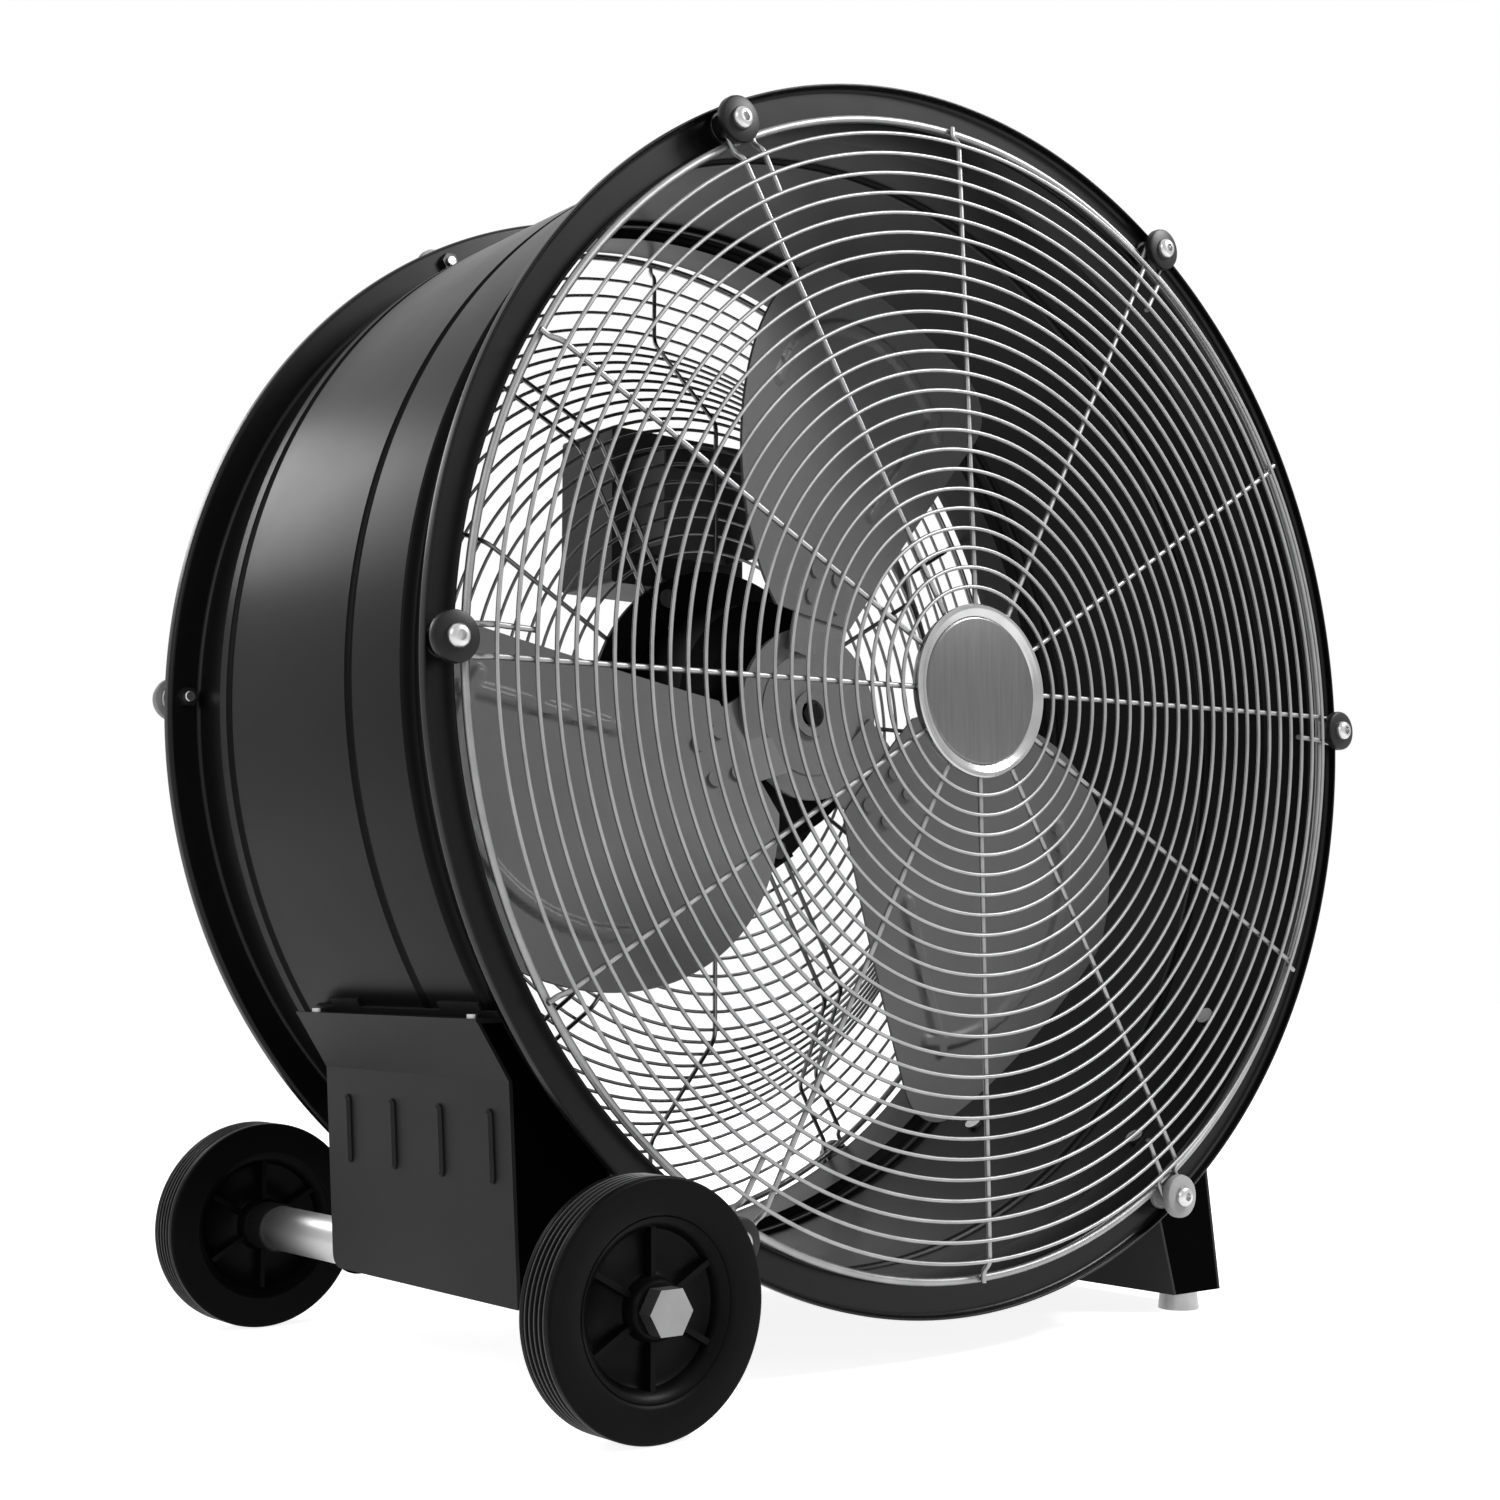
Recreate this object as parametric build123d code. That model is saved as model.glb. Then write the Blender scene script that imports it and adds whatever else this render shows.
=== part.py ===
from build123d import *
import math
import os

# Drum fan on a wheeled stand, in millimetres and degrees.
# X runs to the right seen from the front, Y to the back, Z up.
# The origin is on the floor, below the middle of the drum.
# Angles about the drum axis start at +X and run towards +Z.

# ---- Clearances and fits ----
RUNNING_FIT = 0.05      # radial, shaft in a bearing or a wheel on its axle
PRESS_FIT = 0.02        # radial, between two pieces that stay together
HOLE_FIT = 0.25         # radial, a screw in its hole
SIDE_GAP = 0.3          # between a turning piece and the one beside it
AIR_GAP = 0.6           # rotor core in the stator
SEAT_GAP = 0.06         # flat head on a curved sheet

# ---- Drum ----
DRUM_R = 327.2          # outside of the drum's wall
DRUM_SHEET = 1.5
COLLAR_DROP = 5.7       # the flanges' collars lie in from the wall
STEP_L = 4.0            # slanted step between wall and collar
WEB_Y = 140.0           # face of each flange web towards the drum's end
FLANGE_COLLAR_L = 36.0  # from a web to the seam with the drum's wall
RIM_W = 18.5            # from a collar out to the rim
RIM_L = 5.5             # from a web out to the rim's end
HEM_R = 0.75            # rounded edge of the rim
BEND_R = 2.0            # bend from collar to web
BEAD_YS = (-48.0, 88.0)
BEAD_W = 8.0            # pressed bead in the drum's wall
BEAD_DEPTH = 2.5
FLOOR_GAP = 22.0        # under the rim

# ---- Wires and grille bolts ----
WIRE_D = 2.2            # ring wire
SPOKE_D = 3.0
EDGE_WIRE_D = 4.4       # outermost ring
RING_SIDES = 24
EDGE_SIDES = 36
SPOKES = 12
BOLTS = 6
BOLT_INSET = 10.3       # from the rim's outside to a bolt's axis
BOLT_R = 3.0
BOLT_HEAD_R = 6.0
BOLT_HEAD_H = 4.0
BOLT_CHAMFER = 1.8
BOLT_END = 2.0          # thread beyond a nut
NUT_AF = 9.9
BUSH_R = 12.5
BUSH_REACH = 12.5       # from the rim's end to a bush's outer face
BUSH_HEAD_H = 5.5
BUSH_SLEEVE_R = 6.9
BUSH_COLLAR_R = 8.5
BUSH_COLLAR_H = 2.8
HAIRPIN_R = 8.0         # wire's centre line round a bush
EDGE_RING_INSET = 10.1  # from a bolt's axis in to the edge ring
SPOKE_FLAT_INSET = 4.4  # from the edge ring in to the end of a spoke's bend
SPOKE_BEND_W = 4.2
WIRE_LAP = 2.0          # spoke beyond the ring that it is welded to

# ---- Front grille ----
RING_IN_GAP = 11.6      # from the middle plate to the innermost ring
RING_OUT_GAP = 2.0      # from the outermost ring to the spokes' bend
RING_PITCH = 10.9
FRONT_DOME = 3.1        # the grille's middle stands out by this much
FRONT_OUT_IN = 2.1      # from the bushes' outer face back to the spokes at their bend
SHORT_LEG_L = 25.0      # a hairpin's short leg inside the bend
PLATE_R = 46.0
PLATE_T = 1.5
PLATE_LAP = 11.5        # spoke under the middle plate
BADGE_LAP = 2.0         # badge beyond the middle plate
BADGE_T = 3.1
BADGE_EDGE_W = 4.0
BADGE_STEP_W = 2.4
BADGE_STEP = 0.8
BADGE_SINK = 1.2        # face below the badge's edge

# ---- Rear guard ----
GUARD_OUT_IN = 11.5     # from the bushes' outer face back to the spokes near the rim
DISH_LIP_W = 45.0
DISH_SLOPE_W = 69.0
DISH_DEPTH = 68.5
REAR_PITCH = 10.7
REAR_RING_GAP = 9.0     # from the motor's mount to the innermost ring

# ---- Motor and its mount ----
MOTOR_R = 73.0
MOTOR_L = 94.0
MOTOR_REACH = 28.0      # behind the bottom of the dish
MOTOR_WALL = 4.0
MOTOR_CAP_H = 20.0      # depth of an end shield
CAP_CONE_H = 8.0
CAP_EDGE_IN = 13.0
CAP_WALL = 5.0
BEARING_INSET = 3.0     # front bearing behind the motor's face
EAR_T = 3.0
EAR_W = 20.0
MOUNT_T = 3.0
MOUNT_W = 26.0          # ring plate round the motor
MOUNT_BOLT_INSET = 10.0
MOUNT_WASHER_R = 9.0
MOUNT_WASHER_T = 1.5
SHAFT_R = 6.0
SHAFT_PASS = 1.0        # radial, shaft through the front shield
SHAFT_THREAD_L = 18.0
BEARING_R = 16.0
BEARING_W = 10.0
STATOR_BORE_R = 36.0
STATOR_L = 36.0

# ---- Rotor: hub and blades ----
BLADES = 3
BLADE_ANGLE_0 = 82.0
BLADE_TO_MOTOR = 29.0   # from a blade's front face to the motor's face
BLADE_T = 1.6
BLADE_PITCH = 13.0      # slope of the sheet across the blade
CAMBER_R = 600.0
TIP_GAP = 47.7          # from a blade's tip to the drum
TIP_LOW_ANGLE = -31.0
TIP_HIGH_ANGLE = 8.0
TIP_FILLET = 28.0
ROOT_LOW_OUT, ROOT_LOW_V = 8.0, -28.0       # out from the hub, and across
ROOT_HIGH_OUT, ROOT_HIGH_V = 4.0, 45.0
EDGE_MID_INSET, EDGE_MID_ANGLE = 62.4, 27.04
RIB_H = 2.0
RIB_W = 7.0
RIB_LINE = ((138.0, -15.0), (42.0, -22.0))  # in from the tip, and angle
RIB_BOW = ((78.0, 20.0), (32.0, 0.0), (53.0, -24.0))
HUB_R = 52.0
HUB_T = 3.0
HUB_STEP_R = 37.0       # raised middle of the hub's disc
HUB_STEP_H = 0.8
HUB_COLLAR_R = 14.0
HUB_COLLAR_H = 3.0
HUB_RECESS_R = 8.6
HUB_FLOOR_T = 2.0       # under the bolt in the collar
HUB_BOSS_R = 15.0
HUB_BOSS_L = 20.0
ARM_IN = 18.0           # overlap of an arm with the hub's disc
ARM_OUT = 43.0          # arm beyond the hub's disc
ARM_IN_W = 52.0
ARM_OUT_W = 40.0
ARM_FILLET = 10.0
RIVET_R = 2.5
RIVET_HEAD_R = 4.5
RIVET_HEAD_H = 1.5
RIVET_OUTS = (18.0, 35.0)   # rows of rivets out from the hub's disc
RIVET_VS = ((-12.0, 14.0), (-10.0, 12.0))
HUB_BOLT_R = 4.0
HUB_BOLT_AF = 12.0
HUB_BOLT_HEAD_H = 3.5
HUB_BOLT_L = 16.0       # thread in the shaft

# ---- Control box ----
BOX_W = 107.0
BOX_H = 102.0
BOX_D = 55.0
BOX_SHIFT = 1.5         # middle of the box right of the drum axis
BOX_OVER_MOUNT = 5.0    # lower edge of the box inside the mount's ring
BOX_STANDOFF = 42.0     # from the bottom of the dish to the box
BOX_WALL = 2.0
BOX_COVER_T = 3.0
BOX_FILLET = 3.0
BRACKET_T = 1.5
BRACKET_W = 80.0
BRACKET_H = 60.0
COVER_SCREW_R = 2.0
COVER_SCREW_L = 4.0
COVER_SCREW_HEAD_R = 3.5
COVER_SCREW_HEAD_H = 2.0
COVER_SCREW_INSET = 8.0
SPINDLE_R = 3.0
SPINDLE_HOLE_R = 4.0
KNOB_R = 15.0
KNOB_H = 14.0
KNOB_GRIP_W = 6.0
KNOB_GRIP_L = 27.0
KNOB_GRIP_H = 6.0
SWITCH_SIZE = (30.0, 26.0, 30.0)
SOCKET_L = 13.0
CAPACITOR_R = 14.0
CAPACITOR_L = 50.0
GLAND_R = 9.0
GLAND_L = 16.0
GLAND_BORE_R = 4.0

# ---- Stands ----
STAND_WEB_GAP = 25.6    # from the front flange's web back to the stands
STAND_L = 186.4
STAND_SHEET = 2.0
SADDLE_T = 1.5
SADDLE_HIGH = 31.6      # degrees below the horizontal
SADDLE_LOW = 58.4
TAB_HIGH = 30.8         # top of the saddle's tabs
TAB_LS = ((21.0, 51.0), (134.0, 173.0))     # ends of the tabs, from the stand's rear
LEFT_TOP_ANGLE = 32.23  # where the left stand's flange meets the drum
LEFT_FLANGE_W = 13.55
LEFT_BAND = (19.1, 30.1)    # inward run and height of the slanted band
LEFT_LEAN = 6.3         # inward run of the panel below the band
LEFT_CORNER_R = 8.0     # rounded rear lower corner
AXLE_GAP = 0.3          # between the panel and the axle tube
AXLE_OVER_EDGE = 10.5   # axle above the panel's lower edge
INNER_PANEL_IN = 36.5   # from the axle in to the inner panel
INNER_PANEL_UP = 11.0
AXLE_EAR_R = 15.4
LOUVRES = 4
LOUVRE_PITCH = 48.0
LOUVRE_L = 36.5
LOUVRE_W = 7.0
LOUVRE_H = 2.5
LOUVRE_CHAMFER = 1.5
LOUVRE_DROP = 32.0      # from the band's lower edge to the louvres' middle
LOUVRE_SHIFT = 2.7      # louvres forward of the stand's middle
RIGHT_OUT_ANGLE = 44.85 # where the right stand's panels meet the drum
RIGHT_IN_ANGLE = 55.85
RIGHT_OUT_LEAN = 16.5   # outward run of the outer panel down to its foot
RIGHT_IN_LEAN = 21.7
STAND_SCREW_ANGLES = (-34.5, -52.4, -143.5, -125.8)
STAND_SCREW_END = 22.0  # from a screw to the end of the stand
STAND_SCREW_R = 2.5
STAND_SCREW_HEAD_R = 5.5
STAND_SCREW_HEAD_H = 2.5
STAND_NUT_AF = 8.0
STAND_NUT_H = 4.0
FLANGE_SCREW_R = 3.5
FLANGE_SCREW_H = 2.0
FLANGE_SCREW_IN = 7.0
FLANGE_SCREW_END = 13.0
FOOT_R = 12.5
FOOT_TOP_R = 11.5
FOOT_H = 10.5
FOOT_IN = 26.0          # from the right stand's outer edge in to a foot
FOOT_ENDS = (11.4, 13.0)    # from the stand's front and rear to a foot
FOOT_SCREW_R = 3.0
FOOT_SCREW_END = 2.0
FOOT_SCREW_HEAD_R = 5.5
FOOT_SCREW_HEAD_H = 3.0
FOOT_SCREW_RECESS = 4.0
FOOT_NUT_AF = 10.8
FOOT_NUT_H = 4.0

# ---- Wheels and axle ----
WHEEL_R = 59.0
WHEEL_W = 25.0
TYRE_T = 18.0
TREAD_GROOVES = 5
TREAD_GROOVE_D = 1.6
TREAD_GROOVE_W = 2.2
TYRE_CHAMFER = 2.5
RIM_WALL = 4.5
RIM_INSET = 1.5
WHEEL_WEB_T = 5.0
WHEEL_BOSS_R = 14.0
WHEEL_RIBS = 6
WHEEL_RIB_W = 4.0
WHEEL_RIB_INSET = 3.0
WHEEL_RIB_LAP = 1.0
AXLE_R = 6.0
TUBE_R = 12.5
TUBE_WALL = 2.0
TUBE_REACH = 20.5       # axle tube beyond the rim's end
PLUG_L = 16.0
SLEEVE_R = 13.5
SLEEVE_L = 18.0
AXLE_HEAD_AF = 20.5
AXLE_HEAD_H = 8.7

# ---- Derived sizes ----
COLLAR_R = DRUM_R - COLLAR_DROP
RIM_R = COLLAR_R + RIM_W
RIM_END = WEB_Y + RIM_L
SEAM_Y = WEB_Y - FLANGE_COLLAR_L
AXIS_HEIGHT = RIM_R + FLOOR_GAP
BOLT_PITCH_R = RIM_R - BOLT_INSET
BUSH_FACE_Y = RIM_END + BUSH_REACH
WIRE_BACK_Y = BUSH_FACE_Y - BUSH_HEAD_H          # outer face of the hairpins
HAIRPIN_Y = WIRE_BACK_Y - SPOKE_D / 2
EDGE_RING_R = BOLT_PITCH_R - EDGE_RING_INSET
EDGE_RING_Y = HAIRPIN_Y - SPOKE_D / 2            # the edge ring lies inside the spokes
SPOKE_FLAT_R = EDGE_RING_R - SPOKE_FLAT_INSET
SPOKE_BEND_R = SPOKE_FLAT_R - SPOKE_BEND_W
SHORT_LEG_R = SPOKE_BEND_R - SHORT_LEG_L
FRONT_OUT_Y = BUSH_FACE_Y - FRONT_OUT_IN
FRONT_MID_Y = FRONT_OUT_Y + FRONT_DOME
BADGE_R = PLATE_R + BADGE_LAP
BOLT_ANGLES = [360.0 / BOLTS * k for k in range(BOLTS)]
SPOKE_SHIFT = math.degrees(math.asin(HAIRPIN_R / BOLT_PITCH_R))
GUARD_OUT_Y = BUSH_FACE_Y - GUARD_OUT_IN
DISH_TOP_R = SPOKE_BEND_R - DISH_LIP_W
DISH_LOW_R = DISH_TOP_R - DISH_SLOPE_W
DISH_LOW_Y = GUARD_OUT_Y - DISH_DEPTH            # spokes at the bottom of the dish
MOUNT_Y = DISH_LOW_Y - SPOKE_D / 2 - MOUNT_T     # front face of the mount ring
MOUNT_R = MOTOR_R + MOUNT_W
MOUNT_BOLT_PITCH_R = MOUNT_R - MOUNT_BOLT_INSET
EAR_Y = MOUNT_Y - EAR_T
MOTOR_REAR_Y = DISH_LOW_Y + MOTOR_REACH
MOTOR_FRONT_Y = MOTOR_REAR_Y - MOTOR_L
FRONT_BEARING_Y = MOTOR_FRONT_Y + BEARING_INSET
REAR_BEARING_Y = MOTOR_REAR_Y - CAP_WALL - BEARING_W
STATOR_Y = (MOTOR_FRONT_Y + MOTOR_REAR_Y) / 2
BLADE_ANGLES = [BLADE_ANGLE_0 + 360.0 / BLADES * k for k in range(BLADES)]
BLADE_Y = MOTOR_FRONT_Y - BLADE_TO_MOTOR         # front face on the blade's middle line
TIP_R = DRUM_R - DRUM_SHEET - TIP_GAP
HUB_Y = BLADE_Y + BLADE_T                        # front face of the hub disc
HUB_SEAT_Y = HUB_Y + HUB_T - HUB_FLOOR_T         # under the bolt's head
HUB_BOSS_END_Y = HUB_Y + HUB_BOSS_L
SHAFT_FRONT_Y = HUB_Y + HUB_T
BOX_X = (BOX_SHIFT - BOX_W / 2, BOX_SHIFT + BOX_W / 2)
BOX_Z = (MOUNT_R - BOX_OVER_MOUNT, MOUNT_R - BOX_OVER_MOUNT + BOX_H)
BOX_Y = (DISH_LOW_Y + BOX_STANDOFF, DISH_LOW_Y + BOX_STANDOFF + BOX_D)
BOX_MID_Z = sum(BOX_Z) / 2
COVER_Y = BOX_Y[1] + BOX_COVER_T
STAND_FRONT_Y = -(WEB_Y - STAND_WEB_GAP)
STAND_REAR_Y = STAND_FRONT_Y + STAND_L
STAND_MID_Y = (STAND_FRONT_Y + STAND_REAR_Y) / 2
STAND_LOW_Z = FOOT_H - AXIS_HEIGHT
SADDLE_R = DRUM_R + SADDLE_T
WHEEL_Z = WHEEL_R - AXIS_HEIGHT
TYRE_IN_R = WHEEL_R - TYRE_T


def on_saddle(side, angle):
    """X and Z of a place on the saddles, at an angle below the horizontal."""
    return (side * SADDLE_R * math.cos(math.radians(angle)),
            -SADDLE_R * math.sin(math.radians(angle)))


LEFT_TOP = (on_saddle(-1, LEFT_TOP_ANGLE)[0] - LEFT_FLANGE_W, on_saddle(-1, LEFT_TOP_ANGLE)[1])
LEFT_BEND = (LEFT_TOP[0] + LEFT_BAND[0], LEFT_TOP[1] - LEFT_BAND[1])
LEFT_FOOT = (LEFT_BEND[0] + LEFT_LEAN, WHEEL_Z - AXLE_OVER_EDGE)
WHEEL_X = LEFT_FOOT[0] + STAND_SHEET + AXLE_GAP + TUBE_R
LEFT_INNER_X = WHEEL_X + INNER_PANEL_IN
LEFT_INNER_LOW_Z = WHEEL_Z + INNER_PANEL_UP
RIGHT_OUT_TOP, RIGHT_IN_TOP = on_saddle(1, RIGHT_OUT_ANGLE), on_saddle(1, RIGHT_IN_ANGLE)
RIGHT_OUT_LOW_X = RIGHT_OUT_TOP[0] + RIGHT_OUT_LEAN
RIGHT_IN_LOW_X = RIGHT_IN_TOP[0] + RIGHT_IN_LEAN
FOOT_X = RIGHT_OUT_LOW_X - FOOT_IN
FOOT_YS = (STAND_FRONT_Y + FOOT_ENDS[0], STAND_REAR_Y - FOOT_ENDS[1])
TUBE_END_Y = RIM_END + TUBE_REACH
WHEEL_IN_Y = TUBE_END_Y + SLEEVE_L
WHEEL_OUT_Y = WHEEL_IN_Y + WHEEL_W


# ---- Small helpers ----
def block(x, y, z):
    """Box between pairs of X, Y and Z values."""
    size = Box(x[1] - x[0], y[1] - y[0], z[1] - z[0])
    return Pos((x[0] + x[1]) / 2, (y[0] + y[1]) / 2, (z[0] + z[1]) / 2) * size


def disc(radius, y0, y1, x=0.0, z=0.0):
    """Cylinder along Y."""
    return Pos(x, (y0 + y1) / 2, z) * Rot(90, 0, 0) * Cylinder(radius, abs(y1 - y0))


def hexagon(across_flats, y0, y1, x=0.0, z=0.0):
    """Hexagonal prism along Y with two corners on the horizontal."""
    flat = RegularPolygon(across_flats / 2, 6, major_radius=False)
    prism = extrude(flat, (y1 - y0) / 2, both=True)
    return Pos(x, (y0 + y1) / 2, z) * Rot(90, 0, 0) * prism


def turned(shape, angle):
    """Turn a shape about the drum axis, from +X towards +Z."""
    return Rot(0, -angle, 0) * shape


def around(shape, angles):
    return [turned(shape, angle) for angle in angles]


def strip(r0, r1, y0, y1):
    """Rectangle in the radius and Y plane, for a revolved profile."""
    return Pos((r0 + r1) / 2, (y0 + y1) / 2) * Rectangle(abs(r1 - r0), abs(y1 - y0))


def spin(profile):
    """Revolve a radius and Y profile about the drum axis."""
    return revolve(profile, Axis.Y)


def upright(face, y0, y1):
    """Extrude an outline drawn in X and Z between two Y values."""
    return Pos(0, y0, 0) * Rot(90, 0, 0) * extrude(face, -(y1 - y0))


def outline(*points):
    return make_face(Polyline(*points, close=True))


def mirrored(shape):
    """The same shape at the other end of the drum."""
    return mirror(shape, Plane.XZ)


def save(name, *shapes):
    """Lift the solids of one piece, or of a set of equal pieces, onto the floor frame."""
    solids = [Pos(0, 0, AXIS_HEIGHT) * solid for shape in shapes for solid in shape.solids()]
    whole = solids[0] if len(solids) == 1 else Compound(solids)
    export_step(whole, f"parts/{name}.step")


# ---- Drum ----
def wall_profile():
    """Wall with its pressed beads, and a step down to the collar at each end."""
    inner = DRUM_R - DRUM_SHEET
    low = COLLAR_R - DRUM_SHEET
    lag = DRUM_SHEET * math.tan(math.atan2(COLLAR_DROP, STEP_L) / 2)
    flat = SEAM_Y - STEP_L
    wall = strip(inner, DRUM_R, lag - flat, flat - lag)
    step = outline((inner, flat - lag), (DRUM_R, flat - lag), (DRUM_R, flat),
                   (COLLAR_R, SEAM_Y), (low, SEAM_Y), (low, SEAM_Y - lag))
    wall += step + mirrored(step)
    for y in BEAD_YS:
        half = BEAD_W / 2
        outer = outline((DRUM_R, y - half), (DRUM_R - BEAD_DEPTH, y), (DRUM_R, y + half))
        wall += outline((inner, y - half), (inner - BEAD_DEPTH, y), (inner, y + half))
        wall -= outer
    return wall


def flange_profile():
    """Ring at the back end: collar on the wall's seam, web for the bolts, and rim."""
    inner = COLLAR_R - DRUM_SHEET
    web_in = WEB_Y - DRUM_SHEET
    ring = strip(inner, COLLAR_R, SEAM_Y, WEB_Y) + strip(inner, RIM_R, web_in, WEB_Y)
    ring += strip(RIM_R - DRUM_SHEET, RIM_R, web_in, RIM_END - HEM_R)
    ring += Pos(RIM_R - HEM_R, RIM_END - HEM_R) * RegularPolygon(HEM_R, 8)
    corner = [v for v in ring.vertices() if math.dist((v.X, v.Y), (COLLAR_R, web_in)) < BEND_R / 10]
    return fillet(corner, BEND_R)


def flange():
    hole = disc(BOLT_R + HOLE_FIT, WEB_Y - 2 * DRUM_SHEET, RIM_END, BOLT_PITCH_R)
    return spin(flange_profile()) - around(hole, BOLT_ANGLES)


def stand_screw_places():
    """Angle and Y of each screw that holds a stand to the drum."""
    ys = (STAND_FRONT_Y + STAND_SCREW_END, STAND_REAR_Y - STAND_SCREW_END)
    return [(angle, y) for angle in STAND_SCREW_ANGLES for y in ys]


def radial(shape, angle, y):
    """Lay a shape that was drawn along Z on the radius at an angle."""
    return turned(Pos(0, y, 0) * Rot(0, 90, 0) * shape, angle)


def radial_pin(radius, r0, r1, angle, y):
    pin = Pos(0, 0, (r0 + r1) / 2) * Cylinder(radius, r1 - r0)
    return radial(pin, angle, y)


def through_sheets(places):
    """Pins for the holes of the stand screws in the drum and the saddles."""
    reach = SADDLE_T + DRUM_SHEET
    return [radial_pin(STAND_SCREW_R + HOLE_FIT, DRUM_R - reach, DRUM_R + reach, angle, y)
            for angle, y in places]


def drum():
    return spin(wall_profile()) - through_sheets(stand_screw_places())


# ---- Wires ----
def slope_frame(start, end):
    """Unit vectors along and square to a stretch of the radius and Y plane."""
    dr, dy = end[0] - start[0], end[1] - start[1]
    length = math.hypot(dr, dy)
    return (dr / length, dy / length), (-dy / length, dr / length)


def ring_wire(radius, y, along, up, wire, sides, start_angle):
    """Ring of straight stretches with a flat side that lies on the spokes."""
    half = 0.6 * wire
    section = [(radius - along[0] * half, y - along[1] * half),
               (radius + along[0] * half, y + along[1] * half),
               (radius + up[0] * wire, y + up[1] * wire)]

    def place(point, step):
        angle = math.radians(start_angle + 360.0 / sides * (step % sides))
        return Vector(point[0] * math.cos(angle), point[1], point[0] * math.sin(angle))

    faces = []
    for step in range(sides):
        for first, second in zip(section, section[1:] + section[:1]):
            corners = (place(first, step), place(second, step),
                       place(second, step + 1), place(first, step + 1))
            faces.append(Face(Wire.make_polygon(corners)))
    return Solid(Shell(faces))


def spoke_blade(path, width, side=0.0):
    """Wire that follows a radius and Y path, square in section, along +X."""
    half = width / 2
    line = Polyline(*path)
    flat = trace(line, width)
    return Pos(0, 0, side) * extrude(flat, half, both=True)


def hairpin_turn():
    """Half turn of wire round a bush, at the outer end of a pair of legs."""
    ring = Circle(HAIRPIN_R + SPOKE_D / 2) - Circle(HAIRPIN_R - SPOKE_D / 2)
    half = ring & (Pos(HAIRPIN_R, 0) * Rectangle(2 * HAIRPIN_R, 4 * HAIRPIN_R))
    turn = extrude(half, SPOKE_D / 2, both=True)
    return Pos(BOLT_PITCH_R, 0, 0) * Rot(90, 0, 0) * turn


def front_path(inner_r, inner_y, outer_r):
    return [(inner_r, inner_y), (SPOKE_BEND_R, -FRONT_OUT_Y), (SPOKE_FLAT_R, -HAIRPIN_Y),
            (outer_r, -HAIRPIN_Y)]


def front_spoke_y(radius):
    """Middle of a front spoke at a radius; negative is to the front."""
    share = (radius - PLATE_R) / (SPOKE_BEND_R - PLATE_R)
    return -FRONT_MID_Y + (FRONT_MID_Y - FRONT_OUT_Y) * share


def front_grille():
    wires = []
    straight = [(PLATE_R - PLATE_LAP, -FRONT_MID_Y)]
    end_r = EDGE_RING_R + WIRE_LAP
    plain = spoke_blade(straight + front_path(PLATE_R, -FRONT_MID_Y, end_r), SPOKE_D)
    long_leg = spoke_blade(straight + front_path(PLATE_R, -FRONT_MID_Y, BOLT_PITCH_R), SPOKE_D)
    short_leg = spoke_blade(
        front_path(SHORT_LEG_R, front_spoke_y(SHORT_LEG_R), BOLT_PITCH_R), SPOKE_D)
    turn = Pos(0, -HAIRPIN_Y, 0) * hairpin_turn()
    pair = turned(long_leg, SPOKE_SHIFT) + turn + turned(short_leg, -SPOKE_SHIFT)
    for k in range(SPOKES):
        angle = 360.0 / SPOKES * k
        at_bolt = k % (SPOKES // BOLTS) == 0
        wires.append(turned(pair, angle) if at_bolt else turned(plain, angle + SPOKE_SHIFT))
    along, up = slope_frame((SPOKE_BEND_R, -FRONT_OUT_Y), (PLATE_R, -FRONT_MID_Y))
    inner_r, outer_r = PLATE_R + RING_IN_GAP, SPOKE_BEND_R - RING_OUT_GAP
    gaps = round((outer_r - inner_r) / RING_PITCH)
    for ring in range(gaps + 1):
        radius = inner_r + (outer_r - inner_r) * ring / gaps
        y = front_spoke_y(radius) - SPOKE_D / 2
        wires.append(ring_wire(radius, y, along, up, WIRE_D, RING_SIDES, SPOKE_SHIFT))
    plate_y = SPOKE_D / 2 - FRONT_MID_Y
    wires.append(disc(PLATE_R, plate_y, plate_y + PLATE_T))
    return wires


def edge_ring():
    """Thick ring at the back, inside the ends of the spokes."""
    return ring_wire(EDGE_RING_R, EDGE_RING_Y, (1, 0), (0, -1), EDGE_WIRE_D, EDGE_SIDES, 0.0)


def badge():
    """Round plate on the middle of the front grille, with a raised edge and a step."""
    back = -FRONT_MID_Y - SPOKE_D / 2
    plate = disc(BADGE_R, back, back - BADGE_T)
    face = back - BADGE_T
    plate -= disc(BADGE_R - BADGE_EDGE_W, face, face + BADGE_STEP)
    return plate - disc(BADGE_R - BADGE_EDGE_W - BADGE_STEP_W, face, face + BADGE_SINK)


def rear_path(inner_r):
    return [(inner_r, DISH_LOW_Y), (DISH_LOW_R, DISH_LOW_Y), (DISH_TOP_R, GUARD_OUT_Y),
            (SPOKE_BEND_R, GUARD_OUT_Y), (SPOKE_FLAT_R, HAIRPIN_Y)]


def rear_ring_places():
    """Middle line, direction and outward side of each ring, from the rim inwards."""
    corners = [(SPOKE_BEND_R, GUARD_OUT_Y), (DISH_TOP_R, GUARD_OUT_Y),
               (DISH_LOW_R, DISH_LOW_Y), (MOUNT_R + REAR_RING_GAP, DISH_LOW_Y)]
    places = []
    for start, end in zip(corners, corners[1:]):
        along, side = slope_frame(start, end)
        up = (-side[0], -side[1])
        length = math.dist(start, end)
        count = round(length / REAR_PITCH)
        for step in range(count):
            run = length * (step + 0.5) / count
            radius = start[0] + along[0] * run + up[0] * SPOKE_D / 2
            y = start[1] + along[1] * run + up[1] * SPOKE_D / 2
            places.append((radius, y, along, up))
    return places


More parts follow.
